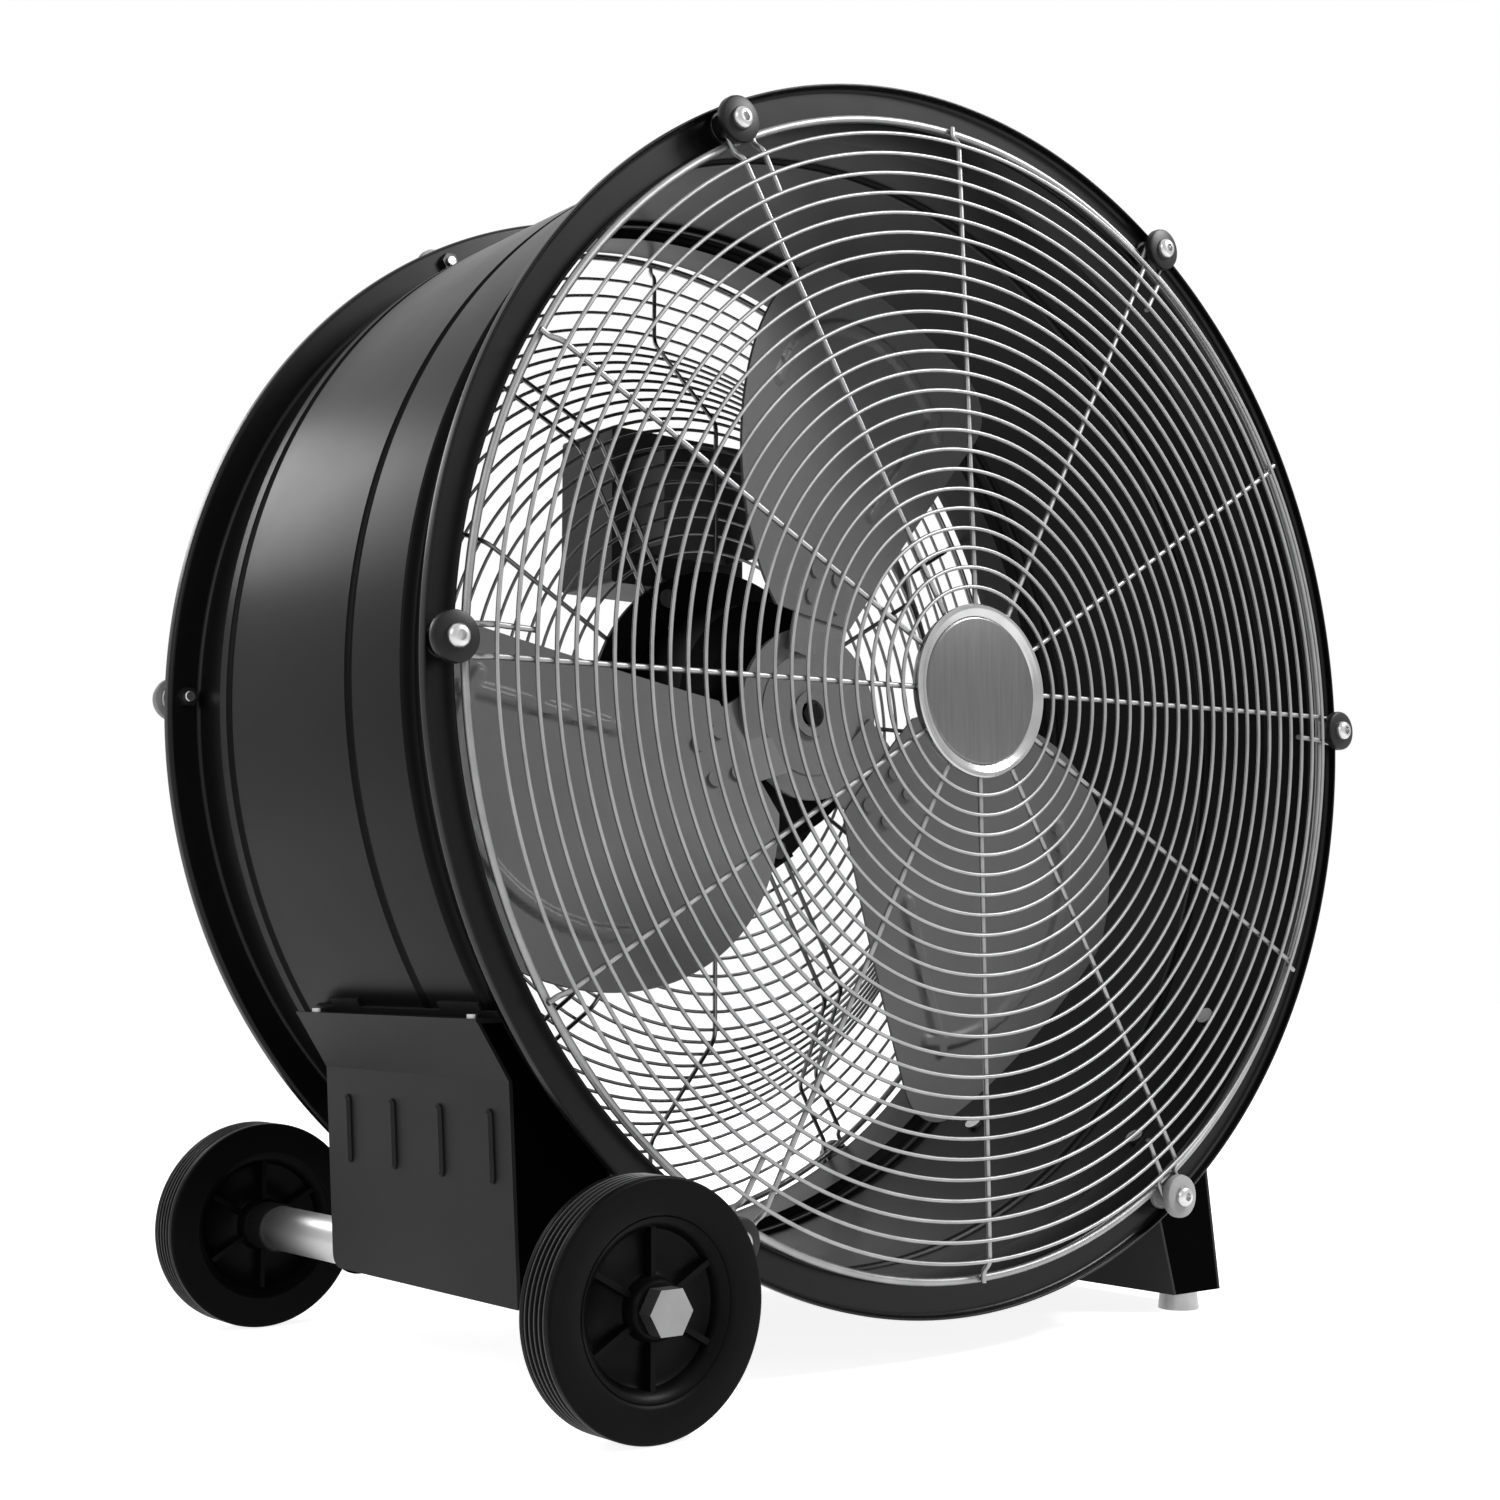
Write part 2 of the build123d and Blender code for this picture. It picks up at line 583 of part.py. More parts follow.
def rear_guard():
    inner_r = MOUNT_BOLT_PITCH_R - MOUNT_WASHER_R
    plain = spoke_blade(rear_path(inner_r) + [(EDGE_RING_R + WIRE_LAP, HAIRPIN_Y)], SPOKE_D)
    leg = rear_path(inner_r) + [(BOLT_PITCH_R, HAIRPIN_Y)]
    pair = Pos(0, HAIRPIN_Y, 0) * hairpin_turn()
    pair += [spoke_blade(leg, SPOKE_D, side) for side in (-HAIRPIN_R, HAIRPIN_R)]
    wires = []
    for k in range(SPOKES):
        at_bolt = k % (SPOKES // BOLTS) == 0
        wires.append(turned(pair if at_bolt else plain, 360.0 / SPOKES * k))
    for radius, y, along, up in rear_ring_places():
        wires.append(ring_wire(radius, y, along, up, WIRE_D, RING_SIDES, 0.0))
    return wires


# ---- Grille bolts, made for the front and mirrored to the back ----
def bush():
    """Bush: head, neck in the hairpin, sleeve, and collar on the flange's web."""
    bore = BOLT_R + HOLE_FIT
    neck = HAIRPIN_R - SPOKE_D / 2 - HOLE_FIT
    profile = strip(bore, BUSH_R, -BUSH_FACE_Y, -WIRE_BACK_Y)
    profile += strip(bore, neck, -WIRE_BACK_Y, -EDGE_RING_Y)
    collar_y = -WEB_Y - BUSH_COLLAR_H
    profile += strip(bore, BUSH_SLEEVE_R, -EDGE_RING_Y, collar_y)
    profile += strip(bore, BUSH_COLLAR_R, collar_y, -WEB_Y)
    return Pos(BOLT_PITCH_R, 0, 0) * spin(profile)


def grille_bolt():
    head_y = -BUSH_FACE_Y - BOLT_HEAD_H
    nut_end = DRUM_SHEET + BOLT_HEAD_H + BOLT_END
    head = disc(BOLT_HEAD_R, head_y, -BUSH_FACE_Y)
    head = chamfer(head.edges().sort_by(Axis.Y)[0], BOLT_CHAMFER)
    shank = disc(BOLT_R, -BUSH_FACE_Y, -WEB_Y + nut_end)
    return Pos(BOLT_PITCH_R, 0, 0) * (head + shank)


def grille_nut():
    seat = -WEB_Y + DRUM_SHEET
    nut = hexagon(NUT_AF, seat, seat + BOLT_HEAD_H)
    nut -= disc(BOLT_R, seat, seat + BOLT_HEAD_H)
    return Pos(BOLT_PITCH_R, 0, 0) * nut


# ---- Motor ----
def motor_housing():
    front = MOTOR_FRONT_Y + MOTOR_CAP_H
    rear = MOTOR_REAR_Y - MOTOR_CAP_H
    tube = disc(MOTOR_R, front, rear) - disc(MOTOR_R - MOTOR_WALL, front, rear)
    ear = block((MOTOR_R - MOTOR_WALL / 2, MOUNT_R), (EAR_Y, MOUNT_Y), (-EAR_W / 2, EAR_W / 2))
    ear -= disc(BOLT_R + HOLE_FIT, EAR_Y, MOUNT_Y, MOUNT_BOLT_PITCH_R)
    return tube + around(ear, BOLT_ANGLES)


def end_shield(face_y, inward, bearing_y, shaft_passes):
    """Cap of the motor: a turned bowl that holds a bearing in a pocket."""
    seat = face_y + inward * MOTOR_CAP_H
    step = face_y + inward * CAP_CONE_H
    cap_r = MOTOR_R - CAP_EDGE_IN
    bowl = outline((0, face_y), (cap_r, face_y), (MOTOR_R, step), (MOTOR_R, seat),
                   (MOTOR_R - CAP_WALL, seat), (MOTOR_R - CAP_WALL, step + inward * CAP_WALL),
                   (cap_r - CAP_WALL, face_y + inward * CAP_WALL),
                   (BEARING_R + CAP_WALL, face_y + inward * CAP_WALL),
                   (BEARING_R + CAP_WALL, bearing_y + BEARING_W * (1 + inward) / 2),
                   (0, bearing_y + BEARING_W * (1 + inward) / 2))
    cap = spin(bowl)
    cap -= disc(BEARING_R, bearing_y, bearing_y + BEARING_W)
    if shaft_passes:
        cap -= disc(SHAFT_R + SHAFT_PASS, face_y, bearing_y)
    return cap


def bearing(y):
    return disc(BEARING_R, y, y + BEARING_W) - disc(SHAFT_R + RUNNING_FIT, y, y + BEARING_W)


def stator():
    ends = (STATOR_Y - STATOR_L / 2, STATOR_Y + STATOR_L / 2)
    return disc(MOTOR_R - MOTOR_WALL, *ends) - disc(STATOR_BORE_R, *ends)


def rotor_core():
    ends = (STATOR_Y - STATOR_L / 2, STATOR_Y + STATOR_L / 2)
    return disc(STATOR_BORE_R - AIR_GAP, *ends) - disc(SHAFT_R + PRESS_FIT, *ends)


def motor_shaft():
    rear_end = REAR_BEARING_Y + BEARING_W - SIDE_GAP
    shaft = disc(SHAFT_R, SHAFT_FRONT_Y, rear_end)
    return shaft - disc(HUB_BOLT_R, SHAFT_FRONT_Y, SHAFT_FRONT_Y + SHAFT_THREAD_L)


def motor_mount():
    """Ring plate between the motor's ears and the rear guard."""
    plate = disc(MOUNT_R, MOUNT_Y, MOUNT_Y + MOUNT_T)
    plate -= disc(MOTOR_R + PRESS_FIT, MOUNT_Y, MOUNT_Y + MOUNT_T)
    hole = disc(BOLT_R + HOLE_FIT, MOUNT_Y, MOUNT_Y + MOUNT_T, MOUNT_BOLT_PITCH_R)
    return plate - around(hole, BOLT_ANGLES)


def mount_bolt():
    """Bolt through ear, mount ring and hairpin, with its washer on the wires."""
    wires_y = DISH_LOW_Y + SPOKE_D / 2
    washer_y = wires_y + MOUNT_WASHER_T
    bolt = disc(BOLT_R, EAR_Y, wires_y)
    bolt += disc(MOUNT_WASHER_R, wires_y, washer_y)
    bolt += hexagon(NUT_AF, washer_y, washer_y + BOLT_HEAD_H)
    bolt += disc(BOLT_HEAD_R, EAR_Y - BOLT_HEAD_H / 2, EAR_Y)
    return Pos(MOUNT_BOLT_PITCH_R, 0, 0) * bolt


# ---- Hub and blades; each is drawn along +X and turned to its place ----
def camber_centre():
    """Z and Y of the axis about which the blade's sheet is rolled."""
    pitch = math.radians(BLADE_PITCH)
    return -CAMBER_R * math.sin(pitch), BLADE_Y - CAMBER_R * math.cos(pitch)


def rolled_sheet(planform, depth, thickness):
    """Part of a rolled sheet that lies inside an outline seen from the front."""
    z, y = camber_centre()
    inner_r = CAMBER_R + depth
    ring = Circle(inner_r + thickness) - Circle(inner_r)
    roll = Pos(0, y, z) * Rot(0, 90, 0) * extrude(ring, TIP_R)
    return roll & upright(planform, BLADE_Y - CAMBER_R / 4, BLADE_Y + CAMBER_R / 4)


def from_tip(inset, angle):
    """Place on a blade at an angle, in from the circle of the tips."""
    radius = TIP_R - inset
    return radius * math.cos(math.radians(angle)), radius * math.sin(math.radians(angle))


def blade_planform():
    low, high = from_tip(0, TIP_LOW_ANGLE), from_tip(0, TIP_HIGH_ANGLE)
    mid = from_tip(0, (TIP_LOW_ANGLE + TIP_HIGH_ANGLE) / 2)
    edge_mid = from_tip(EDGE_MID_INSET, EDGE_MID_ANGLE)
    root_low, root_high = (HUB_R + ROOT_LOW_OUT, ROOT_LOW_V), (HUB_R + ROOT_HIGH_OUT, ROOT_HIGH_V)
    edges = [Line(root_low, low), ThreePointArc(low, mid, high),
             ThreePointArc(high, edge_mid, root_high), Line(root_high, root_low)]
    face = make_face(edges)
    tips = [v for v in face.vertices() if math.hypot(v.X, v.Y) > TIP_R - EDGE_MID_INSET / 2]
    return fillet(tips, TIP_FILLET)


def rib_planforms():
    """Outlines of the ribs pressed into a blade."""
    straight = Line(*[from_tip(*spot) for spot in RIB_LINE])
    bow = ThreePointArc(*[from_tip(*spot) for spot in RIB_BOW])
    return [trace(straight, RIB_W), trace(bow, RIB_W)]


def sheet_location(u, v, depth):
    """Place on the rolled sheet, with Z square to it and towards the front."""
    z, y = camber_centre()
    lean = math.asin((v - z) / CAMBER_R)
    radius = CAMBER_R + depth
    where = Vector(u, y + radius * math.cos(lean), z + radius * math.sin(lean))
    return Plane(origin=where, x_dir=(1, 0, 0),
                 z_dir=(0, -math.cos(lean), -math.sin(lean))).location


def rivet_places():
    return [(HUB_R + out, v) for out, vs in zip(RIVET_OUTS, RIVET_VS) for v in vs]


def rivet_holes():
    depth = 2 * (BLADE_T + HUB_T)
    return [sheet_location(u, v, BLADE_T) * Cylinder(RIVET_R + PRESS_FIT, depth)
            for u, v in rivet_places()]


def blade():
    sheet = rolled_sheet(blade_planform(), 0, BLADE_T)
    for planform in rib_planforms():
        sheet += rolled_sheet(planform, -RIB_H, RIB_H + BLADE_T / 2)
    return sheet - rivet_holes()


def hub():
    """Spider: a stepped disc with a collar, a boss on the shaft and an arm behind each blade."""
    in_u, out_u = HUB_R - ARM_IN, HUB_R + ARM_OUT
    arm_face = outline((in_u, -ARM_IN_W / 2), (out_u, -ARM_OUT_W / 2),
                       (out_u, ARM_OUT_W / 2), (in_u, ARM_IN_W / 2))
    outer = [v for v in arm_face.vertices() if v.X > HUB_R]
    arm = rolled_sheet(fillet(outer, ARM_FILLET), BLADE_T, HUB_T) - rivet_holes()
    spider = disc(HUB_R, HUB_Y, HUB_Y + HUB_T)
    spider += disc(HUB_STEP_R, HUB_Y - HUB_STEP_H, HUB_Y)
    spider += disc(HUB_COLLAR_R, HUB_Y - HUB_COLLAR_H, HUB_Y)
    spider += disc(HUB_BOSS_R, HUB_Y, HUB_BOSS_END_Y)
    spider += around(arm, BLADE_ANGLES)
    spider -= disc(HUB_RECESS_R, HUB_Y - HUB_COLLAR_H, HUB_SEAT_Y)
    spider -= disc(SHAFT_R + PRESS_FIT, SHAFT_FRONT_Y, HUB_BOSS_END_Y)
    return spider - disc(HUB_BOLT_R + HOLE_FIT, HUB_SEAT_Y, SHAFT_FRONT_Y)


def rivets():
    pins = []
    for u, v in rivet_places():
        front = sheet_location(u, v, -SEAT_GAP / 2)
        back = sheet_location(u, v, BLADE_T + HUB_T)
        pin = front * Pos(0, 0, -(BLADE_T + HUB_T) / 2) * Cylinder(RIVET_R, BLADE_T + HUB_T)
        pin += front * Pos(0, 0, RIVET_HEAD_H / 2) * Cylinder(RIVET_HEAD_R, RIVET_HEAD_H)
        pin += back * Pos(0, 0, -RIVET_HEAD_H / 2) * Cylinder(RIVET_HEAD_R, RIVET_HEAD_H)
        pins += around(pin, BLADE_ANGLES)
    return pins


def hub_bolt():
    """Hexagon bolt that sits in the collar's recess."""
    head = hexagon(HUB_BOLT_AF, HUB_SEAT_Y - HUB_BOLT_HEAD_H, HUB_SEAT_Y)
    return head + disc(HUB_BOLT_R, HUB_SEAT_Y, SHAFT_FRONT_Y + HUB_BOLT_L)


# ---- Control box ----
def control_box():
    """Tray that is open to the back."""
    tray = block(BOX_X, BOX_Y, BOX_Z)
    upright_edges = tray.edges().filter_by(Axis.Y)
    tray = fillet(upright_edges, BOX_FILLET)
    tray -= block((BOX_X[0] + BOX_WALL, BOX_X[1] - BOX_WALL), (BOX_Y[0] + BOX_WALL, BOX_Y[1]),
                  (BOX_Z[0] + BOX_WALL, BOX_Z[1] - BOX_WALL))
    return tray - Pos(BOX_SHIFT, sum(BOX_Y) / 2, BOX_Z[0]) * Cylinder(GLAND_BORE_R, 4 * BOX_WALL)


def box_cover():
    cover = block(BOX_X, (BOX_Y[1], COVER_Y), BOX_Z)
    cover = fillet(cover.edges().filter_by(Axis.Y), BOX_FILLET)
    cover -= disc(SPINDLE_HOLE_R, BOX_Y[1], COVER_Y, BOX_SHIFT, BOX_MID_Z)
    return cover - [disc(COVER_SCREW_R + HOLE_FIT, BOX_Y[1], COVER_Y, x, z)
                    for x, z in cover_screw_places()]


def cover_screw_places():
    inset = COVER_SCREW_INSET
    return [(x, z) for x in (BOX_X[0] + inset, BOX_X[1] - inset)
            for z in (BOX_Z[0] + inset, BOX_Z[1] - inset)]


def cover_screws():
    screws = []
    for x, z in cover_screw_places():
        screw = disc(COVER_SCREW_HEAD_R, COVER_Y, COVER_Y + COVER_SCREW_HEAD_H, x, z)
        screws.append(screw + disc(COVER_SCREW_R, BOX_Y[1] - COVER_SCREW_L, COVER_Y, x, z))
    return screws


def box_bracket():
    """Channel between the control box and the rings of the rear guard."""
    crest = DISH_LOW_Y + SPOKE_D / 2 + WIRE_D
    x = (BOX_SHIFT - BRACKET_W / 2, BOX_SHIFT + BRACKET_W / 2)
    z = (BOX_MID_Z - BRACKET_H / 2, BOX_MID_Z + BRACKET_H / 2)
    channel = block(x, (BOX_Y[0] - BRACKET_T, BOX_Y[0]), z)
    channel += block((x[0], x[0] + BRACKET_T), (crest, BOX_Y[0]), z)
    return channel + block((x[1] - BRACKET_T, x[1]), (crest, BOX_Y[0]), z)


def speed_switch():
    half_w, depth, half_h = SWITCH_SIZE[0] / 2, SWITCH_SIZE[1], SWITCH_SIZE[2] / 2
    body = block((BOX_SHIFT - half_w, BOX_SHIFT + half_w), (BOX_Y[1] - depth, BOX_Y[1]),
                 (BOX_MID_Z - half_h, BOX_MID_Z + half_h))
    socket = disc(SPINDLE_R + RUNNING_FIT, BOX_Y[1] - SOCKET_L, BOX_Y[1], BOX_SHIFT, BOX_MID_Z)
    return body - socket


def run_capacitor():
    """Lies along the box's lower wall."""
    z = BOX_Z[0] + BOX_WALL + CAPACITOR_R
    y = BOX_Y[0] + BOX_WALL + CAPACITOR_R
    x = BOX_X[1] - BOX_WALL - CAPACITOR_L / 2
    return Pos(x, y, z) * Rot(0, 90, 0) * Cylinder(CAPACITOR_R, CAPACITOR_L)


def cable_gland():
    """Inlet for the supply cable, below the box."""
    gland = Cylinder(GLAND_R, GLAND_L) - Cylinder(GLAND_BORE_R, GLAND_L)
    return Pos(BOX_SHIFT, sum(BOX_Y) / 2, BOX_Z[0] - GLAND_L / 2) * gland


def speed_knob():
    back = COVER_Y + SIDE_GAP
    knob = disc(KNOB_R, back, back + KNOB_H - KNOB_GRIP_H)
    grip_x = (-KNOB_GRIP_W / 2, KNOB_GRIP_W / 2)
    top = back + KNOB_H
    knob += block(grip_x, (top - KNOB_GRIP_H, top), (-KNOB_GRIP_L / 2, KNOB_GRIP_L / 2))
    knob += disc(SPINDLE_R, BOX_Y[1] - SOCKET_L + SIDE_GAP, back)
    return Pos(BOX_SHIFT, 0, BOX_MID_Z) * knob


# ---- Stands ----
def saddle_strip(side, high, low, y0, y1):
    """Sheet on the outside of the drum between two angles below the horizontal."""
    ring = Circle(SADDLE_R) - Circle(DRUM_R)
    reach = SADDLE_R * 2
    corners = [(side * reach * math.cos(math.radians(angle)), -reach * math.sin(math.radians(angle)))
               for angle in (high, low)]
    return upright(ring & outline((0, 0), *corners), y0, y1)


def saddle(side):
    """Curved sheet under the drum that a stand's plates are welded to, with two tabs on top."""
    sheet = saddle_strip(side, SADDLE_HIGH, SADDLE_LOW, STAND_FRONT_Y, STAND_REAR_Y)
    for near, far in TAB_LS:
        sheet += saddle_strip(side, TAB_HIGH, SADDLE_LOW, STAND_REAR_Y - far, STAND_REAR_Y - near)
    return sheet - through_sheets(stand_screw_places())


def below_saddle(face):
    return face - Circle(SADDLE_R)


def end_plates(face):
    """Front and rear plate of a stand from one outline."""
    front = upright(face, STAND_FRONT_Y, STAND_FRONT_Y + STAND_SHEET)
    rear = upright(face, STAND_REAR_Y - STAND_SHEET, STAND_REAR_Y)
    return front, rear


def bent_sheet(points, inward):
    """Sheet with its outer face on a line of X and Z points, between the end plates."""
    shifted = [(x + inward * STAND_SHEET, z) for x, z in points]
    return outline(*points, *reversed(shifted))


def left_plate_face():
    inset = STAND_SHEET
    top_z = LEFT_TOP[1] - inset
    slope = (LEFT_BEND[0] - LEFT_TOP[0]) / (LEFT_TOP[1] - LEFT_BEND[1])
    deep = on_saddle(-1, SADDLE_LOW)[0]
    face = outline((LEFT_TOP[0] + inset + slope * inset, top_z), (deep, top_z),
                   (LEFT_INNER_X, top_z), (LEFT_INNER_X, LEFT_INNER_LOW_Z),
                   (WHEEL_X + AXLE_EAR_R, WHEEL_Z), (LEFT_FOOT[0] + inset, WHEEL_Z),
                   (LEFT_BEND[0] + inset, LEFT_BEND[1]))
    ear = Pos(WHEEL_X, WHEEL_Z) * Circle(AXLE_EAR_R)
    left_of_panel = outline((LEFT_TOP[0] * 2, 0), (LEFT_BEND[0] + inset, LEFT_BEND[1]),
                            (LEFT_FOOT[0] + inset, LEFT_FOOT[1]),
                            (LEFT_FOOT[0] + inset, 2 * LEFT_FOOT[1]),
                            (LEFT_TOP[0] * 2, 2 * LEFT_FOOT[1]))
    ear -= left_of_panel
    hole = Pos(WHEEL_X, WHEEL_Z) * Circle(TUBE_R + PRESS_FIT)
    return below_saddle(face + ear) - hole


def left_outer_panel():
    """Bent side sheet with a flange on top and pressed louvres."""
    face = bent_sheet([LEFT_TOP, LEFT_BEND, LEFT_FOOT], 1)
    deep = on_saddle(-1, SADDLE_LOW)[0]
    low_z = LEFT_TOP[1] - STAND_SHEET
    face += outline(LEFT_TOP, (deep, LEFT_TOP[1]), (deep, low_z),
                    (LEFT_TOP[0] + STAND_SHEET / 2, low_z))
    panel = upright(below_saddle(face), STAND_FRONT_Y, STAND_REAR_Y)
    lowest = panel.edges().filter_by(Axis.X).group_by(Axis.Z)[0]
    panel = fillet(lowest.sort_by(Axis.Y)[-1], LEFT_CORNER_R)
    lean = math.degrees(math.atan2(LEFT_LEAN, LEFT_BEND[1] - LEFT_FOOT[1]))
    x = LEFT_BEND[0] + LOUVRE_DROP * math.tan(math.radians(lean))
    for k in range(LOUVRES):
        y = STAND_MID_Y - LOUVRE_SHIFT + LOUVRE_PITCH * (k - (LOUVRES - 1) / 2)
        panel += Pos(x, y, LEFT_BEND[1] - LOUVRE_DROP) * Rot(0, -lean, 0) * louvre()
    return panel


def louvre():
    """Pressed rib that stands upright on a side sheet and faces -X."""
    rib = Rot(0, -90, 0) * extrude(SlotOverall(LOUVRE_L, LOUVRE_W), LOUVRE_H)
    return chamfer(rib.faces().sort_by(Axis.X)[0].edges(), LOUVRE_CHAMFER)


def left_inner_panel():
    face = outline((LEFT_INNER_X, LEFT_TOP[1]), (LEFT_INNER_X, LEFT_INNER_LOW_Z),
                   (LEFT_INNER_X + STAND_SHEET, LEFT_INNER_LOW_Z),
                   (LEFT_INNER_X + STAND_SHEET, LEFT_TOP[1]))
    return upright(below_saddle(face), STAND_FRONT_Y, STAND_REAR_Y)


def right_corners(inset):
    """Corners of the right stand's section, inset from its outer faces."""
    top = on_saddle(1, SADDLE_HIGH)[1]
    out_slope = RIGHT_OUT_LEAN / (RIGHT_OUT_TOP[1] - STAND_LOW_Z)
    in_slope = RIGHT_IN_LEAN / (RIGHT_IN_TOP[1] - STAND_LOW_Z)
    out_top = RIGHT_OUT_LOW_X - out_slope * (top - STAND_LOW_Z) - inset
    in_top = RIGHT_IN_LOW_X - in_slope * (top - STAND_LOW_Z) + inset
    return [(in_top, top), (RIGHT_IN_LOW_X + inset, STAND_LOW_Z),
            (RIGHT_OUT_LOW_X - inset, STAND_LOW_Z), (out_top, top)]


def right_outer_panel():
    outer, inner = right_corners(0), right_corners(STAND_SHEET)
    face = outline(outer[2], outer[3], inner[3], inner[2])
    return upright(below_saddle(face), STAND_FRONT_Y, STAND_REAR_Y)


def right_inner_panel():
    outer, inner = right_corners(0), right_corners(STAND_SHEET)
    face = outline(outer[0], outer[1], inner[1], inner[0])
    return upright(below_saddle(face), STAND_FRONT_Y, STAND_REAR_Y)


def right_plate_face():
    corners = right_corners(STAND_SHEET)
    return below_saddle(outline(*corners))


def right_base():
    """Bottom plate between the end plates and the side sheets."""
    inside = right_corners(STAND_SHEET)
    x = (inside[1][0], inside[2][0])
    y = (STAND_FRONT_Y + STAND_SHEET, STAND_REAR_Y - STAND_SHEET)
    base = block(x, y, (STAND_LOW_Z, STAND_LOW_Z + STAND_SHEET))
    base &= upright(outline(*inside), STAND_FRONT_Y, STAND_REAR_Y)
    hole = Cylinder(FOOT_SCREW_R + HOLE_FIT, 4 * STAND_SHEET)
    return base - [Pos(FOOT_X, y, STAND_LOW_Z) * hole for y in FOOT_YS]


def stand_screw(angle, y):
    inner = DRUM_R - DRUM_SHEET - SEAT_GAP
    screw = radial_pin(STAND_SCREW_R, inner, SADDLE_R + STAND_NUT_H, angle, y)
    head = Pos(0, 0, inner - STAND_SCREW_HEAD_H / 2)
    head *= Cylinder(STAND_SCREW_HEAD_R, STAND_SCREW_HEAD_H)
    nut = extrude(RegularPolygon(STAND_NUT_AF / 2, 6, major_radius=False), STAND_NUT_H)
    return screw + radial(head, angle, y) + radial(Pos(0, 0, SADDLE_R) * nut, angle, y)


def flange_screw(y):
    """Small screw on the left stand's top flange."""
    x = LEFT_TOP[0] + FLANGE_SCREW_IN
    return Pos(x, y, LEFT_TOP[1] + FLANGE_SCREW_H / 2) * Cylinder(FLANGE_SCREW_R, FLANGE_SCREW_H)


def foot(y):
    cone = Cone(FOOT_R, FOOT_TOP_R, FOOT_H)
    cone -= Cylinder(FOOT_SCREW_R + HOLE_FIT, FOOT_H)
    recess = Cylinder(FOOT_SCREW_HEAD_R + HOLE_FIT, FOOT_SCREW_RECESS)
    cone -= Pos(0, 0, (FOOT_SCREW_RECESS - FOOT_H) / 2) * recess
    return Pos(FOOT_X, y, FOOT_H / 2 - AXIS_HEIGHT) * cone


def foot_screw(y):
    low = FOOT_SCREW_RECESS - FOOT_SCREW_HEAD_H
    head = Cylinder(FOOT_SCREW_HEAD_R, FOOT_SCREW_HEAD_H)
    head = Pos(0, 0, low + FOOT_SCREW_HEAD_H / 2) * head
    end = FOOT_H + STAND_SHEET + FOOT_NUT_H + FOOT_SCREW_END
    shank = Cylinder(FOOT_SCREW_R, end - FOOT_SCREW_RECESS)
    shank = Pos(0, 0, (end + FOOT_SCREW_RECESS) / 2) * shank
    nut_z = FOOT_H + STAND_SHEET
    nut = extrude(RegularPolygon(FOOT_NUT_AF / 2, 6, major_radius=False), FOOT_NUT_H)
    return Pos(FOOT_X, y, -AXIS_HEIGHT) * (head + shank + Pos(0, 0, nut_z) * nut)


# ---- Wheels and axle; drawn for the back wheel and mirrored to the front ----
def on_axle(shape):
    return Pos(WHEEL_X, 0, WHEEL_Z) * shape


def tyre():
    inner, outer = WHEEL_IN_Y, WHEEL_OUT_Y
    cut = TYRE_CHAMFER
    profile = outline((TYRE_IN_R, inner), (WHEEL_R - cut, inner), (WHEEL_R, inner + cut),
                      (WHEEL_R, outer - cut), (WHEEL_R - cut, outer), (TYRE_IN_R, outer))
    pitch = (WHEEL_W - 2 * cut) / (TREAD_GROOVES + 1)
    for k in range(TREAD_GROOVES):
        y = inner + cut + pitch * (k + 1)
        profile -= outline((WHEEL_R, y - TREAD_GROOVE_W / 2), (WHEEL_R - TREAD_GROOVE_D, y),
                           (WHEEL_R, y + TREAD_GROOVE_W / 2))
    return on_axle(spin(profile))


def wheel_rim():
    """Rim ring, recessed web and boss, with radial ribs."""
    inner, outer = WHEEL_IN_Y, WHEEL_OUT_Y
    middle = (inner + outer) / 2
    bore = AXLE_R + RUNNING_FIT
    profile = strip(TYRE_IN_R - RIM_WALL, TYRE_IN_R, inner + RIM_INSET, outer - RIM_INSET)
    profile += strip(bore, TYRE_IN_R, middle - WHEEL_WEB_T / 2, middle + WHEEL_WEB_T / 2)
    profile += strip(bore, WHEEL_BOSS_R, inner, outer)
    wheel = spin(profile)
    length = (WHEEL_BOSS_R - WHEEL_RIB_LAP, TYRE_IN_R - RIM_WALL + WHEEL_RIB_LAP)
    half = WHEEL_RIB_W / 2
    rib = block(length, (inner + WHEEL_RIB_INSET, outer - WHEEL_RIB_INSET), (-half, half))
    return on_axle(wheel + around(rib, [360.0 / WHEEL_RIBS * k + 30 for k in range(WHEEL_RIBS)]))


def axle_tube():
    tube = disc(TUBE_R, -TUBE_END_Y, TUBE_END_Y) - disc(TUBE_R - TUBE_WALL, -TUBE_END_Y, TUBE_END_Y)
    return on_axle(tube)


def axle_sleeve():
    """Black plug in the tube's end, with a collar that the wheel runs against."""
    bore = AXLE_R + PRESS_FIT
    plug = TUBE_R - TUBE_WALL - PRESS_FIT
    profile = strip(bore, plug, TUBE_END_Y - PLUG_L, TUBE_END_Y)
    profile += strip(bore, SLEEVE_R, TUBE_END_Y, WHEEL_IN_Y - SIDE_GAP)
    return on_axle(spin(profile))


def axle_bolt():
    head_y = WHEEL_OUT_Y + SIDE_GAP
    bolt = disc(AXLE_R, TUBE_END_Y - PLUG_L, head_y)
    return on_axle(bolt + hexagon(AXLE_HEAD_AF, head_y, head_y + AXLE_HEAD_H))


